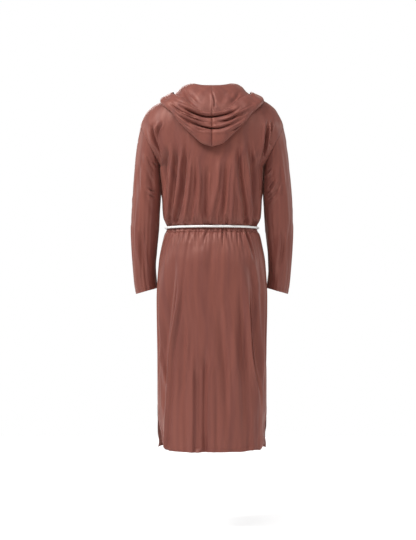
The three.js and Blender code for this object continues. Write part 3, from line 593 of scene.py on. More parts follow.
# %% Creases of the front and the sides
FRONT_CREASES = creases_from("""
7 -9: 200 112, 199 136, 193 166, 184 192, 178 216, 177 250
6 -5: 166 108, 175 128, 182 150, 181 184
6 4: 184 112, 189 136, 187 160, 181 190
7 -9: -198 104, -197 130, -192 160, -184 190, -178 220, -177 256
6 -5: -168 112, -176 134, -181 160, -180 190
8 -7: 142 180, 147 250, 152 320, 156 380, 152 440
6 4.5: 124 190, 130 260, 136 330, 142 400, 144 450
9 -8: 98 190, 104 270, 112 350, 120 410, 124 452
7 5: 76 210, 82 290, 90 370, 98 430
8 -6: 50 220, 54 290, 62 370, 70 440
8 4: 24 250, 26 320, 32 390, 38 446
9 -6: -6 230, -8 300, -10 380, -8 440
8 5: -32 240, -36 310, -42 390, -46 446
8 -7.5: -62 200, -68 280, -78 360, -84 440
7 5: -88 220, -95 300, -103 380, -110 440
9 -8.5: -116 190, -124 270, -132 350, -138 420, -138 452
7 4.5: -146 210, -152 280, -156 350, -156 410
18 -1.4: 60 150, 20 168, -20 170, -64 152
16 1.2: 84 160, 30 190, -30 192, -88 164
5 -6: 20 470, 26 486, 36 512, 44 550
5 -6: -22 470, -30 490, -40 520, -48 556
4.5 4: 32 470, 40 492, 50 520
4.5 4: -34 472, -44 496, -54 528
5 -4.5: 58 468, 62 492, 68 525, 72 560
5 -4.5: -64 468, -68 494, -74 530, -78 566
5 -5: 92 468, 96 490, 104 524, 112 570
5 -5: -96 468, -101 494, -110 530, -117 570
6 -5: 124 468, 132 494, 144 540, 152 590
6 -5: -126 468, -134 496, -146 544, -154 590
12 7: 92 600, 104 720, 118 860, 128 1000, 136 1130, 140 1232
14 -8: 66 640, 74 780, 84 920, 92 1080, 96 1226
12 6: 40 720, 46 860, 52 1000, 54 1140, 56 1234
13 -7: 10 700, 12 850, 14 1000, 14 1140, 14 1232
12 7: -22 680, -28 820, -33 960, -36 1100, -38 1234
13 -7.5: -52 640, -62 780, -70 920, -78 1080, -82 1230
12 6: -86 620, -98 760, -108 900, -116 1060, -120 1232
13 -7: -122 600, -136 740, -148 900, -156 1060, -160 1220
8 5: -160 700, -168 840, -174 980, -178 1090
12 -6: 130 620, 146 760, 158 900, 164 1050, 166 1200
""")
# Seen from either side: across is the place from front to back.
SIDE_CREASES = creases_from("""
9 -5: -30 520, -34 640, -38 780, -40 900, -44 1040
8 4: -10 500, -8 640, -6 800, -6 960, -4 1070
10 -5: 26 500, 30 620, 34 760, 38 900, 40 1050
9 4.5: 56 540, 62 680, 66 840, 68 1000, 70 1160
9 4: -64 560, -70 700, -76 860, -80 1020, -84 1180
7 -4.5: -34 290, -36 340, -38 400, -36 450
7 4: -14 300, -12 350, -12 410, -14 452
7 -4.5: 20 285, 22 340, 24 400, 24 450
7 4: 46 320, 50 370, 50 420, 46 452
16 -1.6: -46 340, -20 372, 6 382, 34 376
14 1.2: -50 318, -20 346, 10 354, 40 344
""")
print(len(FRONT_CREASES), "on the front,", len(SIDE_CREASES), "on each side")

# %% [markdown]
# ## Unevenness and gathers
# Cloth between its creases is never flat. A seeded sum of long slanting waves gives it a calm unevenness,
# the same at every run. Round the waist the cloth is drawn in by the rope, which makes short gathers of
# uneven width: loops of a seeded draw place them round the ring. Under the rope the cloth stays low, so
# that the rope lies on it.

# %% Seeded waves
WAVE_COUNT = 16


def waves(points, seed, length, stretch):
    """Seeded unevenness about 1 high, of a given length across and stretch times that in height."""
    draw = np.random.default_rng(seed)
    total = np.zeros(points.shape[:-1])
    for _ in range(WAVE_COUNT):
        heading, phase = draw.uniform(0, 2 * np.pi, 2)
        size = length * draw.uniform(0.7, 1.5)
        way = np.array([math.cos(heading), math.sin(heading), draw.uniform(-1, 1) / stretch]) / size
        total += np.cos(2 * np.pi * points @ way + phase)
    return total / math.sqrt(WAVE_COUNT / 2)


# %% Gathers at the waist
GATHER_COUNT = 92
GATHER_REACH = 130  # above and below the rope
GATHER_SPREAD = 110  # the height over which a gather grows to twice its width
WAIST_HALF_DEPTH, WAIST_HALF_WIDTH, WAIST_RADIUS = 105, 160, 132
gather_draw = np.random.default_rng(11)
GATHERS = [  # turn round the waist, width, depth, reach above the rope, reach below it
    (
        2 * np.pi * (i + gather_draw.uniform(-0.35, 0.35)) / GATHER_COUNT,
        gather_draw.uniform(2.2, 4.2),
        gather_draw.uniform(-2.6, 1.3),
        gather_draw.uniform(12, 46),
        gather_draw.uniform(14, 60),
    )
    for i in range(GATHER_COUNT)
]


def gather_heights(points):
    turn = np.arctan2(points[..., 1] / WAIST_HALF_DEPTH, points[..., 0] / WAIST_HALF_WIDTH)
    above = points[..., 2] - WAIST_Z
    height = np.zeros(above.shape)
    near = np.abs(above) < GATHER_REACH
    for at, width, depth, up, down in GATHERS:
        away = (turn[near] - at + np.pi) % (2 * np.pi) - np.pi
        fade = np.exp(-((above[near] / np.where(above[near] > 0, up, down)) ** 2))
        spread = width * (1 + np.abs(above[near]) / GATHER_SPREAD)
        height[near] += depth * fade * np.exp(-((away * WAIST_RADIUS / spread) ** 2))
    return height


print(GATHER_COUNT, "gathers, the deepest", round(-min(depth for _, _, depth, _, _ in GATHERS), 1), "mm")

# %% Long fine folds
FINE_FOLD_COUNT = 26
WIDEST_FOLD, NARROWEST_FOLD = 46, 13


def fine_folds(around, down, seed, ring):
    """Long narrow folds about 1 high. around is a length round the body, of which ring is the whole."""
    draw = np.random.default_rng(seed)
    total = np.zeros(np.broadcast(around, down).shape)
    for _ in range(FINE_FOLD_COUNT):
        count = draw.integers(round(ring / WIDEST_FOLD), round(ring / NARROWEST_FOLD))
        phase, rise_phase, drift_phase = draw.uniform(0, 2 * np.pi, 3)
        rise = 0.5 + 0.5 * np.cos(2 * np.pi * down / draw.uniform(240, 620) + rise_phase)
        drift = draw.uniform(0.4, 1.4) * np.cos(2 * np.pi * down / draw.uniform(500, 900) + drift_phase)
        total += rise * np.cos(2 * np.pi * count * around / ring + phase + drift)
    return total / math.sqrt(FINE_FOLD_COUNT / 2)


# %% [markdown]
# All of that adds up to one height for each place, whichever piece asks for it, so that neighbours agree
# along their seams. It is held down in two places: under the rope, and where sleeve and body press on each
# other just below the armhole. The zones are pairs of distances between which an effect comes in or goes.

# %% The whole height of the cloth
BODY_HALF_DEPTH, BODY_HALF_WIDTH, BODY_RING = 120, 175, 940  # means, for the turn round the body
SIDE_BLEND = 26  # half of the strip at the side where the back's creases give way to the front's
BROAD_WAVE, SMALL_WAVE = 1.1, 0.35
FINE_FOLD_HEIGHT, SKIRT_CALM = 0.75, 0.6
FINE_FOLDS_BEGIN, SKIRT_CALMS = (130, 300), (500, 640)  # below the shoulders
ARM_ACROSS, ARM_ENDS = (182, 192), (480, 620)
TOUCH_INNER, TOUCH_OUTER = (166, 174), (188, 200)  # where sleeve and body face each other
TOUCH_BEGINS, TOUCH_ENDS = (215, 240), (318, 345)
TOUCH_RISE, TOUCH_VALLEY_LOSS = 1.2, 0.85
ROPE_HOLD = 13  # height over which the rope flattens the folds
HELD_SHARE = 0.25
UNDER_ROPE, UNDER_ROPE_SLOPE = 0.35, 0.6
ROPE_MIDDLE_Z, ROPE_BAND = WAIST_Z + 2, 3
SLEEVE_X = 190


def cloth_heights(points):
    """How far the cloth stands out from its smooth form, which depends on the place alone."""
    x, y, z = points[..., 0], points[..., 1], points[..., 2]
    out, below = np.abs(x), -z
    behind = smoothstep(y, SIDE_Y - SIDE_BLEND, SIDE_Y + SIDE_BLEND)
    height = crease_heights(x, z, BACK_CREASES) * behind
    height += crease_heights(x, z, FRONT_CREASES) * (1 - behind)
    broad = waves(points, seed=3, length=92, stretch=4)
    small = waves(points, seed=5, length=34, stretch=3)
    height += BROAD_WAVE * broad + SMALL_WAVE * small
    turn = np.arctan2(y / BODY_HALF_DEPTH, x / BODY_HALF_WIDTH)
    on_arm = smoothstep(out, *ARM_ACROSS) * (1 - smoothstep(below, *ARM_ENDS))
    strength = FINE_FOLD_HEIGHT * smoothstep(below, *FINE_FOLDS_BEGIN) * (1 - on_arm)
    strength = strength * (1 - SKIRT_CALM * smoothstep(below, *SKIRT_CALMS))
    height += strength * fine_folds(turn * BODY_RING / (2 * np.pi), z, 61, BODY_RING)
    free = 1 - np.exp(-(((z - WAIST_Z) / ROPE_HOLD) ** 2))
    height = height * (HELD_SHARE + (1 - HELD_SHARE) * free) + gather_heights(points)
    facing_arm = smoothstep(out, *TOUCH_INNER) * (1 - smoothstep(out, *TOUCH_OUTER))
    facing_arm = facing_arm * smoothstep(below, *TOUCH_BEGINS)
    touching = facing_arm * (1 - smoothstep(below, *TOUCH_ENDS))
    height = mix(height, np.maximum(height, TOUCH_RISE), touching)
    shallower = 1 - TOUCH_VALLEY_LOSS * facing_arm * (below < ARM_ENDS[0])
    height = np.where(height < 0, height * shallower, height)
    under_rope = UNDER_ROPE + UNDER_ROPE_SLOPE * np.maximum(0, np.abs(z - ROPE_MIDDLE_Z) - ROPE_BAND)
    return np.where(out > SLEEVE_X, height, np.minimum(height, under_rope))


middle_of_back = np.array([[0.0, body["back_y"](drop), NECK_POINT_Z - drop] for drop in (200, 400, 800)])
print("down the middle of the back it reads", cloth_heights(middle_of_back).round(1).tolist())


# %% [markdown]
# ## Cloth as a thin shell
# Real cloth has two sides and a cut edge. Each piece is a grid of points for its outer side and the same
# grid moved in by the cloth's thickness, joined along the border. That is one closed body, which an
# exporter likes, and it looks right from the inside too. Every point also carries its place on the flat
# cloth, in metres, so that the knit keeps one scale all over the robe.

# %% Make a shell from a grid
CLOTH_THICKNESS = 0.8


def lengths_to_edge(grid):
    run = lengths_along(grid, 0)
    return run[-1:] - run


def grid_faces(rows, columns):
    """Faces of a closed shell of two grids, the outer one first."""
    index = np.arange(rows * columns).reshape(rows, columns)
    a, b, c, d = index[:-1, :-1], index[1:, :-1], index[1:, 1:], index[:-1, 1:]
    outer = np.stack([a, b, c, d], axis=-1).reshape(-1, 4)
    inner = outer[:, ::-1] + rows * columns
    border = np.concatenate([index[:, 0], index[-1, 1:], index[-2::-1, -1], index[0, -2:0:-1]])
    after = np.roll(border, -1)
    rim = np.stack([border, border + rows * columns, after + rows * columns, after], axis=-1)
    return np.concatenate([outer, inner, rim])


def cloth_shell(name, grid):
    rows, columns = grid.shape[:2]
    down, across = np.gradient(grid, axis=0), np.gradient(grid, axis=1)
    inward = unit(np.cross(across, down))
    faces = grid_faces(rows, columns)
    mesh = bpy.data.meshes.new(name)
    points = np.concatenate([grid.reshape(-1, 3), (grid + inward * CLOTH_THICKNESS).reshape(-1, 3)]) * MM
    mesh.vertices.add(len(points))
    mesh.vertices.foreach_set("co", points.ravel())
    mesh.loops.add(faces.size)
    mesh.loops.foreach_set("vertex_index", faces.ravel().astype(np.int32))
    mesh.polygons.add(len(faces))
    mesh.polygons.foreach_set("loop_start", np.arange(0, faces.size, 4, dtype=np.int32))
    mesh.update(calc_edges=True)
    u = lengths_along(grid, 1)
    u = u - u[:, -1:] / 2
    flat = np.stack([u, -lengths_along(grid, 0)], axis=-1).reshape(-1, 2) * MM
    layer = mesh.uv_layers.new(name="flat_cloth")
    layer.data.foreach_set("uv", np.tile(flat, (2, 1))[faces.ravel()].ravel())
    mesh.shade_smooth()
    piece = bpy.data.objects.new(name, mesh)
    bpy.context.scene.collection.objects.link(piece)
    size = np.linalg.norm(np.cross(down, across), axis=-1).sum() * MM**2
    print(f"{name}: {2 * len(faces)} triangles, about {size:.3f} square metres")
    return piece


# %% [markdown]
# ## Bodice and skirt
# Front and back are each cut as a bodice and a skirt, gathered together just below the rope. The rows of
# the grid lie close together where the creases are short, and further apart down the skirt. At a seam two
# pieces take the same height from the same place, and are moved in the same direction, so they stay
# joined. A seam sinks in a little where its thread holds it, and a turned hem is a little thicker.

# %% Where a panel ends
WAIST_SEAM_DROP = NECK_POINT_Z + 480
SLIT_TOP_DROP = NECK_POINT_Z + 1085
SLIT_SPREAD = 24
FRONT_SLIT_SHARE = 0.25
CORNER_HEIGHT, CORNER_SPREAD = 24, 9
armhole_normal = unit(np.array([SHOULDER_Z - UNDERARM_Z, 0, UNDERARM_X - SHOULDER_X], float))


def drawn_back(facing, drop):
    """Degrees by which a panel's edge is drawn back from the side, at its slit and its rounded corner."""
    slit = np.clip((drop - SLIT_TOP_DROP) / (HEM_DROP - SLIT_TOP_DROP), 0, 1)
    corner = np.clip(1 - (HEM_DROP - drop) / CORNER_HEIGHT, 0, 1)
    rounding = CORNER_SPREAD * (1 - np.sqrt(1 - corner**2))
    return (SLIT_SPREAD * slit**0.8 + rounding) * (1 if facing > 0 else FRONT_SLIT_SHARE)


def into_armhole_plane(directions, side_sign, share):
    """Turns directions into the armhole's plane, by a share that is 1 on the seam."""
    normal = armhole_normal * np.stack([side_sign, 0 * side_sign, 0 * side_sign + 1], axis=-1)
    flat = unit(directions - normal * (directions * normal).sum(-1, keepdims=True))
    return unit(mix(directions, flat, share[..., None]))


print("at the hem the back is drawn back by", drawn_back(1, HEM_DROP), "degrees")

# %% Heights of seams and hems
SEAM_WIDTH, SEAM_DEPTH, ARMHOLE_SEAM_DEPTH = 3.2, 1.3, 0.6
HEM_WIDTH, HEM_RISE, HEM_TURN = 13, 0.7, 1.5
STITCH_DIP, STITCH_DIP_WIDTH = 0.6, 1.3
HEM_STITCH_LINE = HEM_WIDTH - 1


def pucker(points):
    """A seam's depth varies along it by about half."""
    return 1 + 0.5 * waves(points, seed=21, length=16, stretch=1)


def groove(distance):
    return np.exp(-((distance / SEAM_WIDTH) ** 2))


def hem_heights(from_edge):
    """A turned hem: thicker to its stitch line, with a narrow dip where the thread pulls it in."""
    rise = HEM_RISE * (1 - smoothstep(from_edge, HEM_WIDTH, HEM_WIDTH + HEM_TURN))
    return rise - STITCH_DIP * np.exp(-(((from_edge - HEM_WIDTH + 1) / STITCH_DIP_WIDTH) ** 2))


edge_and_stitches = hem_heights(np.array([0.0, HEM_STITCH_LINE]))
print("at its edge and at its stitches a hem stands", edge_and_stitches.round(2).tolist(), "mm")

# %% Form of a panel
ARMHOLE_TURN, ARMHOLE_FADE = 22, 18  # distances over which directions leave the armhole's plane
SIDE_CREASES_ACROSS = (120, 168)
SLIT_DRAW_IN = 7
SEWN_END = (SLIT_TOP_DROP - 6, SLIT_TOP_DROP + 2)
NO_FREE_SIDE = 400  # a distance well past any hem
HEM_WAVES_HEIGHT = 260
HEM_WAVE, SLIT_WAVE, HEM_DRIFT = 1.6, 2.5, 1.3
OUTLINE_RISE, OUTLINE_HOLD = 0.5, 0.85  # at the sides folds stand out hardly at all
OUTLINE_BEGINS = (330, 400)
EDGE_GAP = 0.04


def panel_grid(facing, drops, columns):
    drop = drops[:, None]
    drawn = drawn_back(facing, drops)[:, None]
    angle = facing * mix(drawn, 180 - drawn, np.linspace(0, 1, columns + 1))
    edge = np.abs(np.cos(np.radians(angle)))  # 1 at the sides and 0 in the middle
    smooth = smooth_body(angle, drop, facing)
    normal = body_normal(angle, drop, facing)
    normal = unit(np.where(on_side_seam(angle)[..., None], normal * (1, 0, 1), normal))
    run = lengths_along(smooth, 1)
    from_side = np.minimum(run, run[:, -1:] - run)
    past_armhole = np.maximum(0, np.maximum(SHOULDER_DROP - drop, drop - UNDERARM_DROP))
    share = np.exp(-((from_side / ARMHOLE_TURN) ** 2) - (past_armhole / ARMHOLE_FADE) ** 2)
    normal = into_armhole_plane(normal, np.sign(smooth[..., 0]), share)

    height = cloth_heights(smooth)
    beside = smoothstep(np.abs(smooth[..., 0]), *SIDE_CREASES_ACROSS)
    height += crease_heights(smooth[..., 1], smooth[..., 2], SIDE_CREASES) * beside
    sewn = 1 - smoothstep(drop, *SEWN_END)
    depth = mix(SEAM_DEPTH, ARMHOLE_SEAM_DEPTH, np.exp(-((past_armhole / ARMHOLE_FADE) ** 2)))
    height -= depth * pucker(smooth) * groove(from_side) * sewn
    height -= SEAM_DEPTH * pucker(smooth) * groove(drop - WAIST_SEAM_DROP)
    height += hem_heights(np.minimum(HEM_DROP - drop, from_side + NO_FREE_SIDE * sewn))
    if facing > 0:
        height -= SLIT_DRAW_IN * smoothstep(drawn, 0, SLIT_SPREAD) * edge**6
    near_hem = smoothstep(drop, HEM_DROP - HEM_WAVES_HEIGHT, HEM_DROP)
    at_slit = (1 - sewn) * edge**8 * SLIT_WAVE * waves(smooth, seed=33, length=60, stretch=1)
    height += near_hem * (HEM_WAVE * waves(smooth, seed=31, length=70, stretch=3) + at_slit)
    outline = edge**8 * smoothstep(drop, *OUTLINE_BEGINS)
    height = np.minimum(height, mix(height, OUTLINE_RISE, outline * OUTLINE_HOLD))

    points = smooth + normal * height[..., None]
    points[..., 2] += near_hem * HEM_DRIFT * waves(smooth, seed=35, length=120, stretch=20)
    points[:, [0, -1], 1] += EDGE_GAP * facing
    return points if facing > 0 else points[:, ::-1]


# %% Sew the bodice and the skirt
BACK_COLUMNS, FRONT_COLUMNS = 270, 200
ARMHOLE_ROWS = 44


def stretches(*stops):
    """Rows between drops, given as (start, number of rows) and then the end."""
    ends = [stop[0] for stop in stops[1:-1]] + [stops[-1]]
    parts = [np.linspace(start, end, count, endpoint=False) for (start, count), end in zip(stops[:-1], ends)]
    return np.concatenate(parts + [[stops[-1]]])


armhole_turn = np.linspace(0, np.pi, ARMHOLE_ROWS, endpoint=False)
bodice_drops = np.concatenate([
    stretches((0, 26), SHOULDER_DROP)[:-1],
    mix(SHOULDER_DROP, UNDERARM_DROP, (1 - np.cos(armhole_turn)) / 2),
    stretches((UNDERARM_DROP, 34), (440, 22), WAIST_SEAM_DROP),
])
skirt_drops = stretches(
    (WAIST_SEAM_DROP, 26), (570, 26), (740, 42), (1060, 26),
    (HEM_DROP - 40, 10), (HEM_DROP - 16, 10), HEM_DROP,
)
back_bodice = cloth_shell("back_bodice_cloth", panel_grid(1, bodice_drops, BACK_COLUMNS))
front_bodice = cloth_shell("front_bodice_cloth", panel_grid(-1, bodice_drops, FRONT_COLUMNS))
skirt_grids = [panel_grid(1, skirt_drops, BACK_COLUMNS), panel_grid(-1, skirt_drops, FRONT_COLUMNS)]
back_skirt = cloth_shell("back_skirt_cloth", skirt_grids[0])
front_skirt = cloth_shell("front_skirt_cloth", skirt_grids[1])

# %% [markdown]
# ## Sleeves
# A sleeve is a tube of ellipses between an outer line and an inner line, bent a little forward at the
# elbow. It has one seam along its inner line. Folds run across it where the arm bends, and long ones
# run down to the cuff.

# %% Rings of a sleeve
SLEEVE_COLUMNS = ("along", "outer_x", "outer_z", "inner_x", "inner_z", "middle_y", "half_depth")
SLEEVE_RINGS = [
    (0, 250.5, -112, 180.5, -250, 2, 62),
    (0.1, 260.5, -166, 180.4, -274, 1, 61),
    (0.27, 271.5, -262, 177.8, -335, -2, 58),
    (0.45, 281, -372, 182.5, -416, -8, 55),
    (0.6, 285, -462, 188, -486, -16, 54),
    (0.75, 282, -546, 195, -556, -26, 52),
    (0.88, 277, -624, 198, -614, -36, 50),
    (0.95, 273, -668, 196, -650, -42, 48),
    (1, 267, -697, 193.5, -676, -46, 47),
]
sleeve = curves_through(SLEEVE_COLUMNS, SLEEVE_RINGS)
SLEEVE_LENGTH = 585
print("the cuff reaches", [float(sleeve[name](1)) for name in ("outer_x", "inner_x")], "mm out")

# %% Folds of a sleeve
SLEEVE_FOLD_SHARE = 0.6
SLEEVE_FOLDS = [  # facing, high, across at high, low, across at low, width, depth
    (1, 0.1, -0.1, 0.42, -0.75, 0.2, -6),
    (1, 0.28, 0.35, 0.52, -0.7, 0.2, -5),
    (1, 0.6, 0.55, 0.96, -0.35, 0.26, -7),
    (-1, 0.12, -0.1, 0.45, -0.7, 0.22, -6),
    (-1, 0.4, 0.5, 0.56, -0.6, 0.22, -6),
    (-1, 0.6, 0.4, 0.95, -0.4, 0.28, -5),
]
# Seen from the side: across is the place from front to back.
ELBOW_CREASES = creases_from("""
14 -0.8: -50 330, -30 344, -6 350, 20 344
14 -0.8: -56 372, -34 384, -8 388, 18 380
9 3.5: -30 170, -34 230, -38 290
9 -3.5: 8 160, 6 230, 2 300
9 -3.5: -44 440, -48 520, -58 610
9 3.5: -16 430, -24 520, -38 620
7 2.5: 12 450, 4 540, -12 640
""")
ELBOW_ACROSS = (0.2, 0.75)


def sleeve_fold_heights(along, turn):
    across = np.cos(turn)
    height = 0
    for facing, high, across_high, low, across_low, width, depth in SLEEVE_FOLDS:
        run = np.clip((along - high) / (low - high), 0, 1)
        line = mix(across_high, across_low, run)
        fold = depth * np.sin(np.pi * run) * np.exp(-(((across - line) / width) ** 2))
        height = height + fold * np.sin(turn) ** 2 * (np.sign(np.sin(turn)) == facing) * SLEEVE_FOLD_SHARE
    return height


print(len(SLEEVE_FOLDS), "folds and", len(ELBOW_CREASES), "creases on each sleeve")

# %% Sew the sleeves
SLEEVE_COLUMN_COUNT = 124
SLEEVE_RADIUS = 50
SLEEVE_WAVE, SLEEVE_WAVES_BEGIN = 1.2, (0.1, 0.4)
SLEEVE_FINE_FOLD, SLEEVE_FOLDS_BEGIN = 0.8, (0.04, 0.3)
SLEEVE_ARMHOLE_TURN = 24
SLEEVE_OUTLINE = (0.55, 0.95)


def sleeve_grid(side):
    along = stretches((0, 76), (0.34, 50), (0.72, 34), (0.97, 14), 1)[:, None]
    turn = np.linspace(-np.pi, np.pi, SLEEVE_COLUMN_COUNT + 1)
    across = np.cos(turn)
    form = {name: ring(along) for name, ring in sleeve.items()}
    outer = np.stack([form["outer_x"], form["middle_y"], form["outer_z"]], axis=-1)
    inner = np.stack([form["inner_x"], form["middle_y"], form["inner_z"]], axis=-1)
    smooth = mix(inner, outer, (1 + across[:, None]) / 2)
    smooth[..., 1] += form["half_depth"] * np.sin(turn)
    down, around = np.gradient(smooth, axis=0), np.gradient(smooth, axis=1)
    around[:, 0] = around[:, -1] = (around[:, 0] + around[:, -1]) / 2
    normal = unit(np.cross(down, around))
    from_armhole = np.broadcast_to(along * SLEEVE_LENGTH, smooth.shape[:2])
    share = np.exp(-((from_armhole / SLEEVE_ARMHOLE_TURN) ** 2))
    normal = into_armhole_plane(normal, np.ones(smooth.shape[:2]), share)

    placed = smooth * (side, 1, 1)
    height = cloth_heights(placed) + sleeve_fold_heights(along, turn)
    elbow = smoothstep(across, *ELBOW_ACROSS)
    height += crease_heights(placed[..., 1], placed[..., 2], ELBOW_CREASES) * elbow
    wave = waves(placed, seed=41, length=60, stretch=4)
    height += smoothstep(along, *SLEEVE_WAVES_BEGIN) * SLEEVE_WAVE * wave
    folds = fine_folds(turn * SLEEVE_RADIUS, placed[..., 2], 63 + side, 2 * np.pi * SLEEVE_RADIUS)
    height += smoothstep(along, *SLEEVE_FOLDS_BEGIN) * SLEEVE_FINE_FOLD * folds
    outline = smoothstep(across, *SLEEVE_OUTLINE)
    height = np.minimum(height, mix(height, OUTLINE_RISE, outline * OUTLINE_HOLD))
    height -= ARMHOLE_SEAM_DEPTH * pucker(placed) * groove(from_armhole)
    ring = lengths_along(smooth, 1)
    height -= SEAM_DEPTH * groove(np.minimum(ring, ring[:, -1:] - ring))
    height += hem_heights(lengths_to_edge(smooth))

    points = (smooth + normal * height[..., None]) * (side, 1, 1)
    points[0] += armhole_normal * (side, 1, 1) * EDGE_GAP
    points[:, 0, 1] -= EDGE_GAP
    points[:, -1, 1] += EDGE_GAP
    return points if side > 0 else points[:, ::-1]


SIDES = {"left": 1, "right": -1}
sleeve_grids = {name: sleeve_grid(side) for name, side in SIDES.items()}
sleeves = {name: cloth_shell(f"sleeve_{name}_cloth", grid) for name, grid in sleeve_grids.items()}

# %% [markdown]
# ## The lowered hood
# The hood is two halves with a seam down the middle. Lowered, its cloth stands up from the neck seam, rolls
# over, lies down the back to a tip, and folds back over itself up to the face edge, where it forms a bowl.
# So it is told as a path from the neck seam to the face edge, for the middle of the back, the side and the
# front. Each row gives where the cloth is along the hood's reach and how high it lies over the robe.

# %% Path of the hood's cloth
REACH_BY_ANGLE = [
    (-90, 92), (-60, 60), (-30, 43), (0, 40), (28, 60), (56, 93),
    (63, 114), (68, 134), (76, 172), (83, 201), (90, 213),
]
hood_reach = curves_through(("angle", "reach"), REACH_BY_ANGLE)["reach"]

HOOD_COLUMNS = (
    "step", "start", "back_share", "back_lift", "side_share", "side_lift", "front_share", "front_lift",
)
HOOD_PATH = [
    (0, -3, 0, -1, 0, -1, 0, -1),
    (1, -9, 0, 3, 0, 3, 0, 2),
    (2, -8, 0, 10, 0, 11, 0, 7),
    (3, 0, 0, 14, 0.04, 17, 0.05, 10),
    (4, 0, 0.08, 12, 0.22, 15, 0.2, 9),
    (5, 0, 0.24, 7, 0.42, 7, 0.4, 5.5),
    (6, 0, 0.46, 5, 0.6, 4, 0.6, 4),
    (7, 0, 0.7, 5, 0.78, 3.5, 0.78, 3.5),
    (8, 0, 0.92, 5, 0.92, 3.5, 0.93, 3.5),
    (9, 0, 1, 9, 1, 6, 1, 5.5),
    (10, 0, 1, 17, 0.99, 8.5, 0.99, 8),
    (11, 0, 0.93, 25, 0.94, 10, 0.96, 9),
    (12, 0, 0.83, 27, 0.9, 10.5, 0.93, 9.2),
    (13, 0, 0.73, 27, 0.84, 10.8, 0.89, 9.2),
    (14, 0, 0.62, 26, 0.76, 11, 0.84, 9.2),
    (15, 0, 0.53, 25, 0.68, 12, 0.78, 9.2),
    (16, 0, 0.47, 22, 0.62, 12.5, 0.74, 9.2),
    (17, 0, 0.44, 13, 0.59, 10.5, 0.72, 8.6),
]
hood_path = curves_through(HOOD_COLUMNS, HOOD_PATH)
TIP_STEP, FACE_STEP = 9.5, 17
print("at the tip the hood hangs", float(hood_reach(90)), "mm below the neck seam")

# %% Creases of the hood
# On the layer that is folded back, seen from behind.
OUTER_CREASES = creases_from("""
8 -7: 128 40, 106 57, 75 70, 41 84, -3 89, -68 74, -97 58, -120 42
3 -9: 118 48, 75 69, 41 83, -3 88, -68 73, -104 52
6.5 -6: 92 100, 77 108, 41 121, 4 129, -34 127, -81 108, -98 98
2.8 -8: 88 102, 41 120, 4 128, -34 126, -90 102
3 -6.5: 134 60, 104 78, 70 93, 30 106, -4 110
3.4 4.5: 128 70, 96 88, 60 103, 24 113
3 -5.5: -60 142, -92 122, -118 98, -134 78
3 -5: 58 150, 84 136, 106 118
4 -5: 151 36, 109 67, 89 77, 55 94, 28 101
4 3.5: 148 44, 110 77, 84 90, 52 104
4.5 -7: -6 110, -54 100, -85 84, -112 72, -136 56
5 4: -13 96, -68 86, -116 64, -152 40
5 3.5: -44 136, -80 119, -104 104, -123 90
5 3: 60 134, 86 114, 112 92, 140 64
4 -3.5: 20 143, 48 134, 70 124
6 3: 150 14, 118 38, 84 54, 46 68, 2 72, -50 64, -92 44
""")
# On the layer that lies on the back.
BOWL_CREASES = creases_from("""
5 -4: 98 -22, 94 -15, 87 9, 72 29, 51 50, 30 62
8 1.5: 112 -8, 104 14, 86 38, 62 56
6 -3.5: -96 -10, -88 14, -70 36, -48 54
16 1.6: 46 -10, 40 8, 30 26
14 -3.2: -50 -8, -42 14, -30 36, -20 52
5 -1.2: 70 -2, 54 22, 36 46
3 -5.5: -2 -4, -5 10, -9 32, -8 50, -4 74
4.5 1.7: 4 -4, 1 10, -2 32, -1 50, 3 74
""")
print(len(OUTER_CREASES), "creases on the outer layer,", len(BOWL_CREASES), "in the bowl")

# %% Sew the hood
FRONT_ANGLE = -89.2
HOOD_ROWS_PER_STEP, HOOD_COLUMN_COUNT = 10, 140
COLUMN_CROWDING = 0.82  # below 1 the columns lie closer together towards the middle of the back
TOWARDS_MIDDLE = 1.6
OUTER_LAYER = (TIP_STEP, TIP_STEP + 1.5)  # the steps over which each layer's creases come in and go
BOWL_BEGINS, BOWL_ENDS = (1.5, 3), (TIP_STEP - 2, TIP_STEP)
BEHIND_Y = (10, 50)
OUTER_WAVE, BOWL_WAVE = 1.1, 0.4
MIDDLE_SEAM_DEPTH, MIDDLE_SEAM_WIDTH, BOWL_SEAM_SHARE = 1.8, 2.6, 0.3
ROLL_RISE = 6  # the roll stands up a little at the middle of the neck
ROLL_STEP, ROLL_STEPS, ROLL_WIDTH = 1.5, 1.8, 44


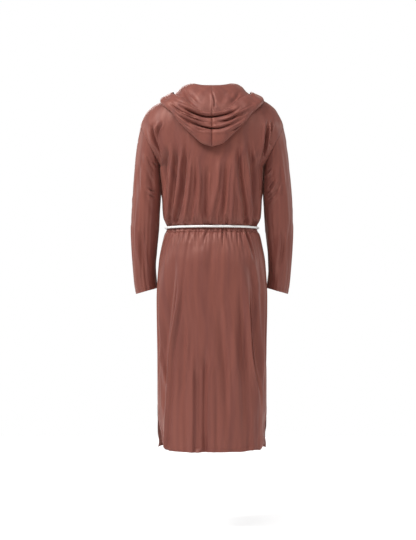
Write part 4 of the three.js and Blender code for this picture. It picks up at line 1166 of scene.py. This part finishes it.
def hood_grid(side):
    step = np.linspace(0, FACE_STEP, FACE_STEP * HOOD_ROWS_PER_STEP + 1)[:, None]
    spread = np.linspace(0, 1, HOOD_COLUMN_COUNT + 1) ** COLUMN_CROWDING
    angle = mix(FRONT_ANGLE, 90, spread)[None, :]
    s = np.sin(np.radians(angle))
    to_middle = np.abs(s) ** TOWARDS_MIDDLE
    told = {name: curve(step) for name, curve in hood_path.items()}
    middle_share = np.where(s >= 0, told["back_share"], told["front_share"])
    middle_lift = np.where(s >= 0, told["back_lift"], told["front_lift"])
    share = mix(told["side_share"], middle_share, to_middle)
    lift = mix(told["side_lift"], middle_lift, to_middle)
    drop = told["start"] + share * hood_reach(angle)
    facing = np.broadcast_to(facing_of(angle), drop.shape)
    angle = np.broadcast_to(angle, drop.shape)
    smooth = smooth_body(angle, drop, facing)
    normal = body_normal(angle, drop, facing)
    placed = (smooth + normal * lift[..., None]) * (side, 1, 1)
    x, z = placed[..., 0], placed[..., 2]

    outer_layer = smoothstep(step, *OUTER_LAYER)
    bowl_layer = smoothstep(step, *BOWL_BEGINS) * (1 - smoothstep(step, *BOWL_ENDS))
    behind = smoothstep(placed[..., 1], *BEHIND_Y)
    height = crease_heights(x, z, OUTER_CREASES) * outer_layer * behind
    height += crease_heights(x, z, BOWL_CREASES) * bowl_layer * behind
    wave = waves(placed, seed=51, length=46, stretch=1.4)
    height += wave * (OUTER_WAVE * outer_layer + BOWL_WAVE * bowl_layer)
    seam = MIDDLE_SEAM_DEPTH * np.exp(-((x / MIDDLE_SEAM_WIDTH) ** 2))
    height -= seam * (outer_layer + BOWL_SEAM_SHARE * bowl_layer)

    points = smooth + normal * (lift + height)[..., None]
    points += normal * hem_heights(lengths_to_edge(points))[..., None]
    points[:, -1, 0] = EDGE_GAP
    roll = np.exp(-(((step - ROLL_STEP) / ROLL_STEPS) ** 2) - (x / ROLL_WIDTH) ** 2)
    points[..., 2] += ROLL_RISE * roll
    points *= (side, 1, 1)
    return points if side > 0 else points[:, ::-1]


hood_grids = {name: hood_grid(side) for name, side in SIDES.items()}
hoods = {name: cloth_shell(f"hood_{name}_cloth", grid) for name, grid in hood_grids.items()}

# %% [markdown]
# ## Stitches
# Each free edge is turned in and sewn down by machine, which leaves a row of short stitches a finger's
# width from the edge. A stitch is a small spindle whose two points sink into the cloth. All of them are one
# mesh, since they are one thread in truth. The grids tell where a row runs: at a set distance from the edge.

# %% Where the stitches run
STITCH_LENGTH, STITCH_SPACING = 3.1, 4.3
SLIT_ROWS_LEFT_OUT = 8  # the last rows of a slit, which the bottom hem's own stitches cross


def line_beside_edge(grid):
    """The stitch line beside a grid's last row, and the outward direction along it."""
    outward = -unit(np.cross(np.gradient(grid, axis=1), np.gradient(grid, axis=0)))
    to_edge = lengths_to_edge(grid)
    row = np.clip((to_edge > HEM_STITCH_LINE).sum(0) - 1, 0, len(grid) - 2)
    column = np.arange(grid.shape[1])
    before, after = to_edge[row, column], to_edge[row + 1, column]
    share = ((before - HEM_STITCH_LINE) / (before - after))[:, None]
    return mix(grid[row, column], grid[row + 1, column], share), outward[row, column]


sewn_lines = [line_beside_edge(grid) for grid in skirt_grids]
slit_rows = skirt_drops > SLIT_TOP_DROP
for grid in skirt_grids:
    slit = grid[slit_rows][:-SLIT_ROWS_LEFT_OUT].transpose(1, 0, 2)
    for edge_last, turned in ((slit, 1), (slit[::-1], -1)):
        points, outward = line_beside_edge(edge_last)
        sewn_lines.append((points, -outward * turned))
for grid in [*sleeve_grids.values(), *hood_grids.values()]:
    sewn_lines.append(line_beside_edge(grid))
print(len(sewn_lines), "rows of stitches")

# %% Sew the stitches
STITCH_SIDES = 5
STITCH_RADIUS = 0.38
STITCH_PLACES = np.array([-0.5, -0.3, 0.3, 0.5])  # its two points and two rings, as shares of its length
STITCH_LIFTS = np.array([-0.25, 0.2, 0.2, -0.25])


def stitches_along(line, outward):
    run = lengths_along(line, 0)
    middle = np.arange(STITCH_SPACING, run[-1] - STITCH_SPACING, STITCH_SPACING)
    at = middle[:, None] + STITCH_LENGTH * STITCH_PLACES
    place = np.stack([np.interp(at, run, line[:, i]) for i in range(3)], axis=-1)
    up = unit(np.stack([np.interp(middle, run, outward[:, i]) for i in range(3)], axis=-1))
    ahead = unit(place[:, 3] - place[:, 0])
    beside = np.cross(ahead, up)
    turn = np.linspace(0, 2 * np.pi, STITCH_SIDES, endpoint=False)
    ring = (beside[:, None] * np.cos(turn)[:, None] + up[:, None] * np.sin(turn)[:, None]) * STITCH_RADIUS
    lifted = place + up[:, None] * STITCH_LIFTS[:, None]
    rings = [lifted[:, 0:1], lifted[:, 1:2] + ring, lifted[:, 2:3] + ring, lifted[:, 3:4]]
    return np.concatenate(rings, axis=1)


def stitch_faces():
    faces = []
    for j in range(STITCH_SIDES):
        a, b = 1 + j, 1 + (j + 1) % STITCH_SIDES
        c, d = a + STITCH_SIDES, b + STITCH_SIDES
        faces += [(0, a, b), (a, c, d, b), (c, 1 + 2 * STITCH_SIDES, d)]
    return faces


spindles = np.concatenate([stitches_along(points, outward) for points, outward in sewn_lines])
corners = spindles.shape[1]
faces = [tuple(i * corners + k for k in face) for i in range(len(spindles)) for face in stitch_faces()]
stitches = new_mesh_object("hem_stitches", spindles.reshape(-1, 3), faces)
print(len(spindles), "stitches,", len(spindles) * STITCH_SIDES * 4, "triangles")

# %% [markdown]
# ## Materials
# The robe is one thin knit with a soft brushed face. Its colour is a brown red, mottled in long streaks
# that run with the ribs. The shader's sheen gives the light rim that such a cloth has where it turns away.
# The knit is a bump made of two crossed ribs in flat metres, so it keeps its scale in every piece. The rope
# is undyed white cotton.

# %% Helpers for materials
def fill(tree, node, inputs):
    """Sets a node's inputs to numbers and colours, or feeds them from other nodes' outputs."""
    for name, value in inputs.items():
        if isinstance(value, bpy.types.NodeSocket):
            tree.links.new(value, node.inputs[name])
        else:
            node.inputs[name].default_value = value


def add_node(tree, kind, inputs, **settings):
    node = tree.nodes.new(kind)
    for name, value in settings.items():
        setattr(node, name, value)
    fill(tree, node, inputs)
    return node.outputs[0]


def new_material(name, looks):
    material = bpy.data.materials.new(name)
    material.use_nodes = True
    fill(material.node_tree, material.node_tree.nodes["Principled BSDF"], looks)
    return material


def give_bump(material, height, strength, distance):
    tree = material.node_tree
    normal = add_node(tree, "ShaderNodeBump", {"Strength": strength, "Distance": distance, "Height": height})
    fill(tree, tree.nodes["Principled BSDF"], {"Normal": normal})


# %% The knit
STREAKS = (42, 1.8, 1)  # in a metre of width, and in a metre of length
RIBS_PER_METRE, LOOPS_PER_METRE = 400, 500
WAVE_SCALE = 2 * math.pi / 20  # at this scale the wave texture makes one wave in each unit
cloth = new_material("robe_cloth", {
    "Roughness": 0.45,
    "Specular IOR Level": 0.5,
    "Specular Tint": (1, 0.6, 0.5, 1),
    "Sheen Weight": 0.24,
    "Sheen Roughness": 0.35,
    "Sheen Tint": (1, 0.6, 0.48, 1),
})
tree = cloth.node_tree
flat_place = add_node(tree, "ShaderNodeUVMap", {}, uv_map="flat_cloth")
stretched = add_node(tree, "ShaderNodeMapping", {"Vector": flat_place, "Scale": STREAKS})
streaks = add_node(tree, "ShaderNodeTexNoise", {"Vector": stretched, "Scale": 1, "Detail": 4})
tone = add_node(tree, "ShaderNodeValToRGB", {"Fac": streaks})
dark, light = tone.node.color_ramp.elements
dark.position, dark.color = 0.3, (0.162, 0.0525, 0.0435, 1)
light.position, light.color = 0.7, (0.218, 0.0695, 0.052, 1)
fill(tree, tree.nodes["Principled BSDF"], {"Base Color": tone})

rib_wave = {"Vector": flat_place, "Scale": RIBS_PER_METRE * WAVE_SCALE, "Distortion": 0.6}
loop_wave = {"Vector": flat_place, "Scale": LOOPS_PER_METRE * WAVE_SCALE}
ribs = add_node(tree, "ShaderNodeTexWave", rib_wave, bands_direction="X").node.outputs["Fac"]
loops = add_node(tree, "ShaderNodeTexWave", loop_wave, bands_direction="Y").node.outputs["Fac"]
crossed = add_node(tree, "ShaderNodeMath", {0: ribs, 1: loops}, operation="ADD")
give_bump(cloth, crossed, strength=0.25, distance=0.0003)
print("knit:", RIBS_PER_METRE, "ribs in a metre of width and", LOOPS_PER_METRE, "loops in a metre of length")

# %% Thread and rope
thread = new_material("robe_thread", {"Base Color": (0.15, 0.045, 0.036, 1), "Roughness": 0.6})
cotton = new_material(
    "rope_cotton", {"Base Color": (0.86, 0.855, 0.84, 1), "Roughness": 0.85, "Sheen Weight": 0.3}
)
fibres = add_node(cotton.node_tree, "ShaderNodeTexNoise", {"Scale": 700, "Detail": 3})
give_bump(cotton, fibres, strength=0.3, distance=0.0004)
print("materials:", ", ".join(material.name for material in (cloth, thread, cotton)))

# %% [markdown]
# Every piece of the robe is a sheet of cloth of a known flat size. The sizes are those of the pattern: the
# width and length of the smallest rectangle that the piece is cut from, and the piece's own area.

# %% Give each piece its material, hide its stiff wall and hang it from the root
CUTS = {  # node: piece, flat width and length in metres, area, how it is held
    "back_bodice": (back_bodice, (0.60, 0.53), 0.27, "hung"),
    "front_bodice": (front_bodice, (0.60, 0.53), 0.25, "hung"),
    "back_skirt": (back_skirt, (0.58, 0.79), 0.38, "gathered"),
    "front_skirt": (front_skirt, (0.58, 0.79), 0.38, "gathered"),
    "sleeve_left": (sleeves["left"], (0.42, 0.62), 0.18, "hung"),
    "sleeve_right": (sleeves["right"], (0.42, 0.62), 0.18, "hung"),
    "hood_left": (hoods["left"], (0.42, 0.38), 0.12, "folded"),
    "hood_right": (hoods["right"], (0.42, 0.38), 0.12, "folded"),
}
for node, (piece, flat, area, held) in CUTS.items():
    piece.data.materials.append(cloth)
    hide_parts(node)
    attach(piece, "root")
stitches.data.materials.append(thread)
for piece in rope_pieces:
    piece.data.materials.append(cotton)
for slot, pieces in (("robe_cloth", [stitches]), ("white_rope", rope_pieces)):
    for piece in pieces:
        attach(piece, "root")
print(len(CUTS), "sheets, in all", round(sum(cut[2] for cut in CUTS.values()), 2), "square metres of knit")

# %% [markdown]
# ## Light and floor
# The picture's light is broad and soft, a little stronger from its left and from above, on white. Large
# area lights stand for that. The world looks white to the camera but lights the robe only a little. The
# floor is plain and pale, and lies 1.5 metres below the shoulders, so the robe stays at its worn height.

# %% Light the robe
LIGHTS = {  # place, size, power
    "key": ((2.5, 1.75, 2.7), 1.5, 170),
    "fill": ((-2.4, 2.6, 1.4), 1.6, 26),
    "top": ((0, 1.9, 1.9), 1.2, 25),
    "side_left": ((2.6, -0.9, 0.2), 1.2, 14),
    "side_right": ((-2.6, -0.9, 0.2), 1.2, 16),
    "front": ((0.8, -4, 1.2), 2.2, 72),
}
robe_middle = (0, 0, -0.6)
for name, (place, size, power) in LIGHTS.items():
    light = bpy.data.lights.new(name, "AREA")
    light.size = size
    light.energy = power
    lamp = bpy.data.objects.new(name, light)
    lamp.location = place
    ahead = [a - b for a, b in zip(robe_middle, place)]
    level = math.hypot(ahead[0], ahead[1])
    lamp.rotation_euler = (math.atan2(level, -ahead[2]), 0, math.atan2(ahead[1], ahead[0]) - math.pi / 2)
    bpy.context.scene.collection.objects.link(lamp)

print(len(LIGHTS), "lights")

# %% White world
ROOM_LIGHT = 0.24
WHITE = (1, 1, 1, 1)
world = bpy.data.worlds.new("white_room")
bpy.context.scene.world = world
world.use_nodes = True
tree = world.node_tree
seen = tree.nodes["Background"]
fill(tree, seen, {"Color": WHITE})
shining = add_node(tree, "ShaderNodeBackground", {"Color": WHITE, "Strength": ROOM_LIGHT})
path = tree.nodes.new("ShaderNodeLightPath")
choice = {"Fac": path.outputs["Is Camera Ray"], 1: shining, 2: seen.outputs["Background"]}
fill(tree, tree.nodes["World Output"], {"Surface": add_node(tree, "ShaderNodeMixShader", choice)})
bpy.context.scene.view_settings.view_transform = "Standard"
print("the room shines at", ROOM_LIGHT)

# %% Pale floor
FLOOR_Z = -1515
FLOOR_HALF = 3000
CORNERS = ((-1, -1), (1, -1), (1, 1), (-1, 1))
floor_points = [(x * FLOOR_HALF, y * FLOOR_HALF, FLOOR_Z) for x, y in CORNERS]
floor = new_mesh_object("studio_floor", floor_points, [(0, 1, 2, 3)], smooth=False)
floor.data.materials.append(new_material("pale_floor", {
    "Base Color": (0.8, 0.8, 0.8, 1),
    "Roughness": 0.9,
    "Emission Color": WHITE,
    "Emission Strength": 0.42,
}))
print("floor", -FLOOR_Z, "mm below the shoulders")
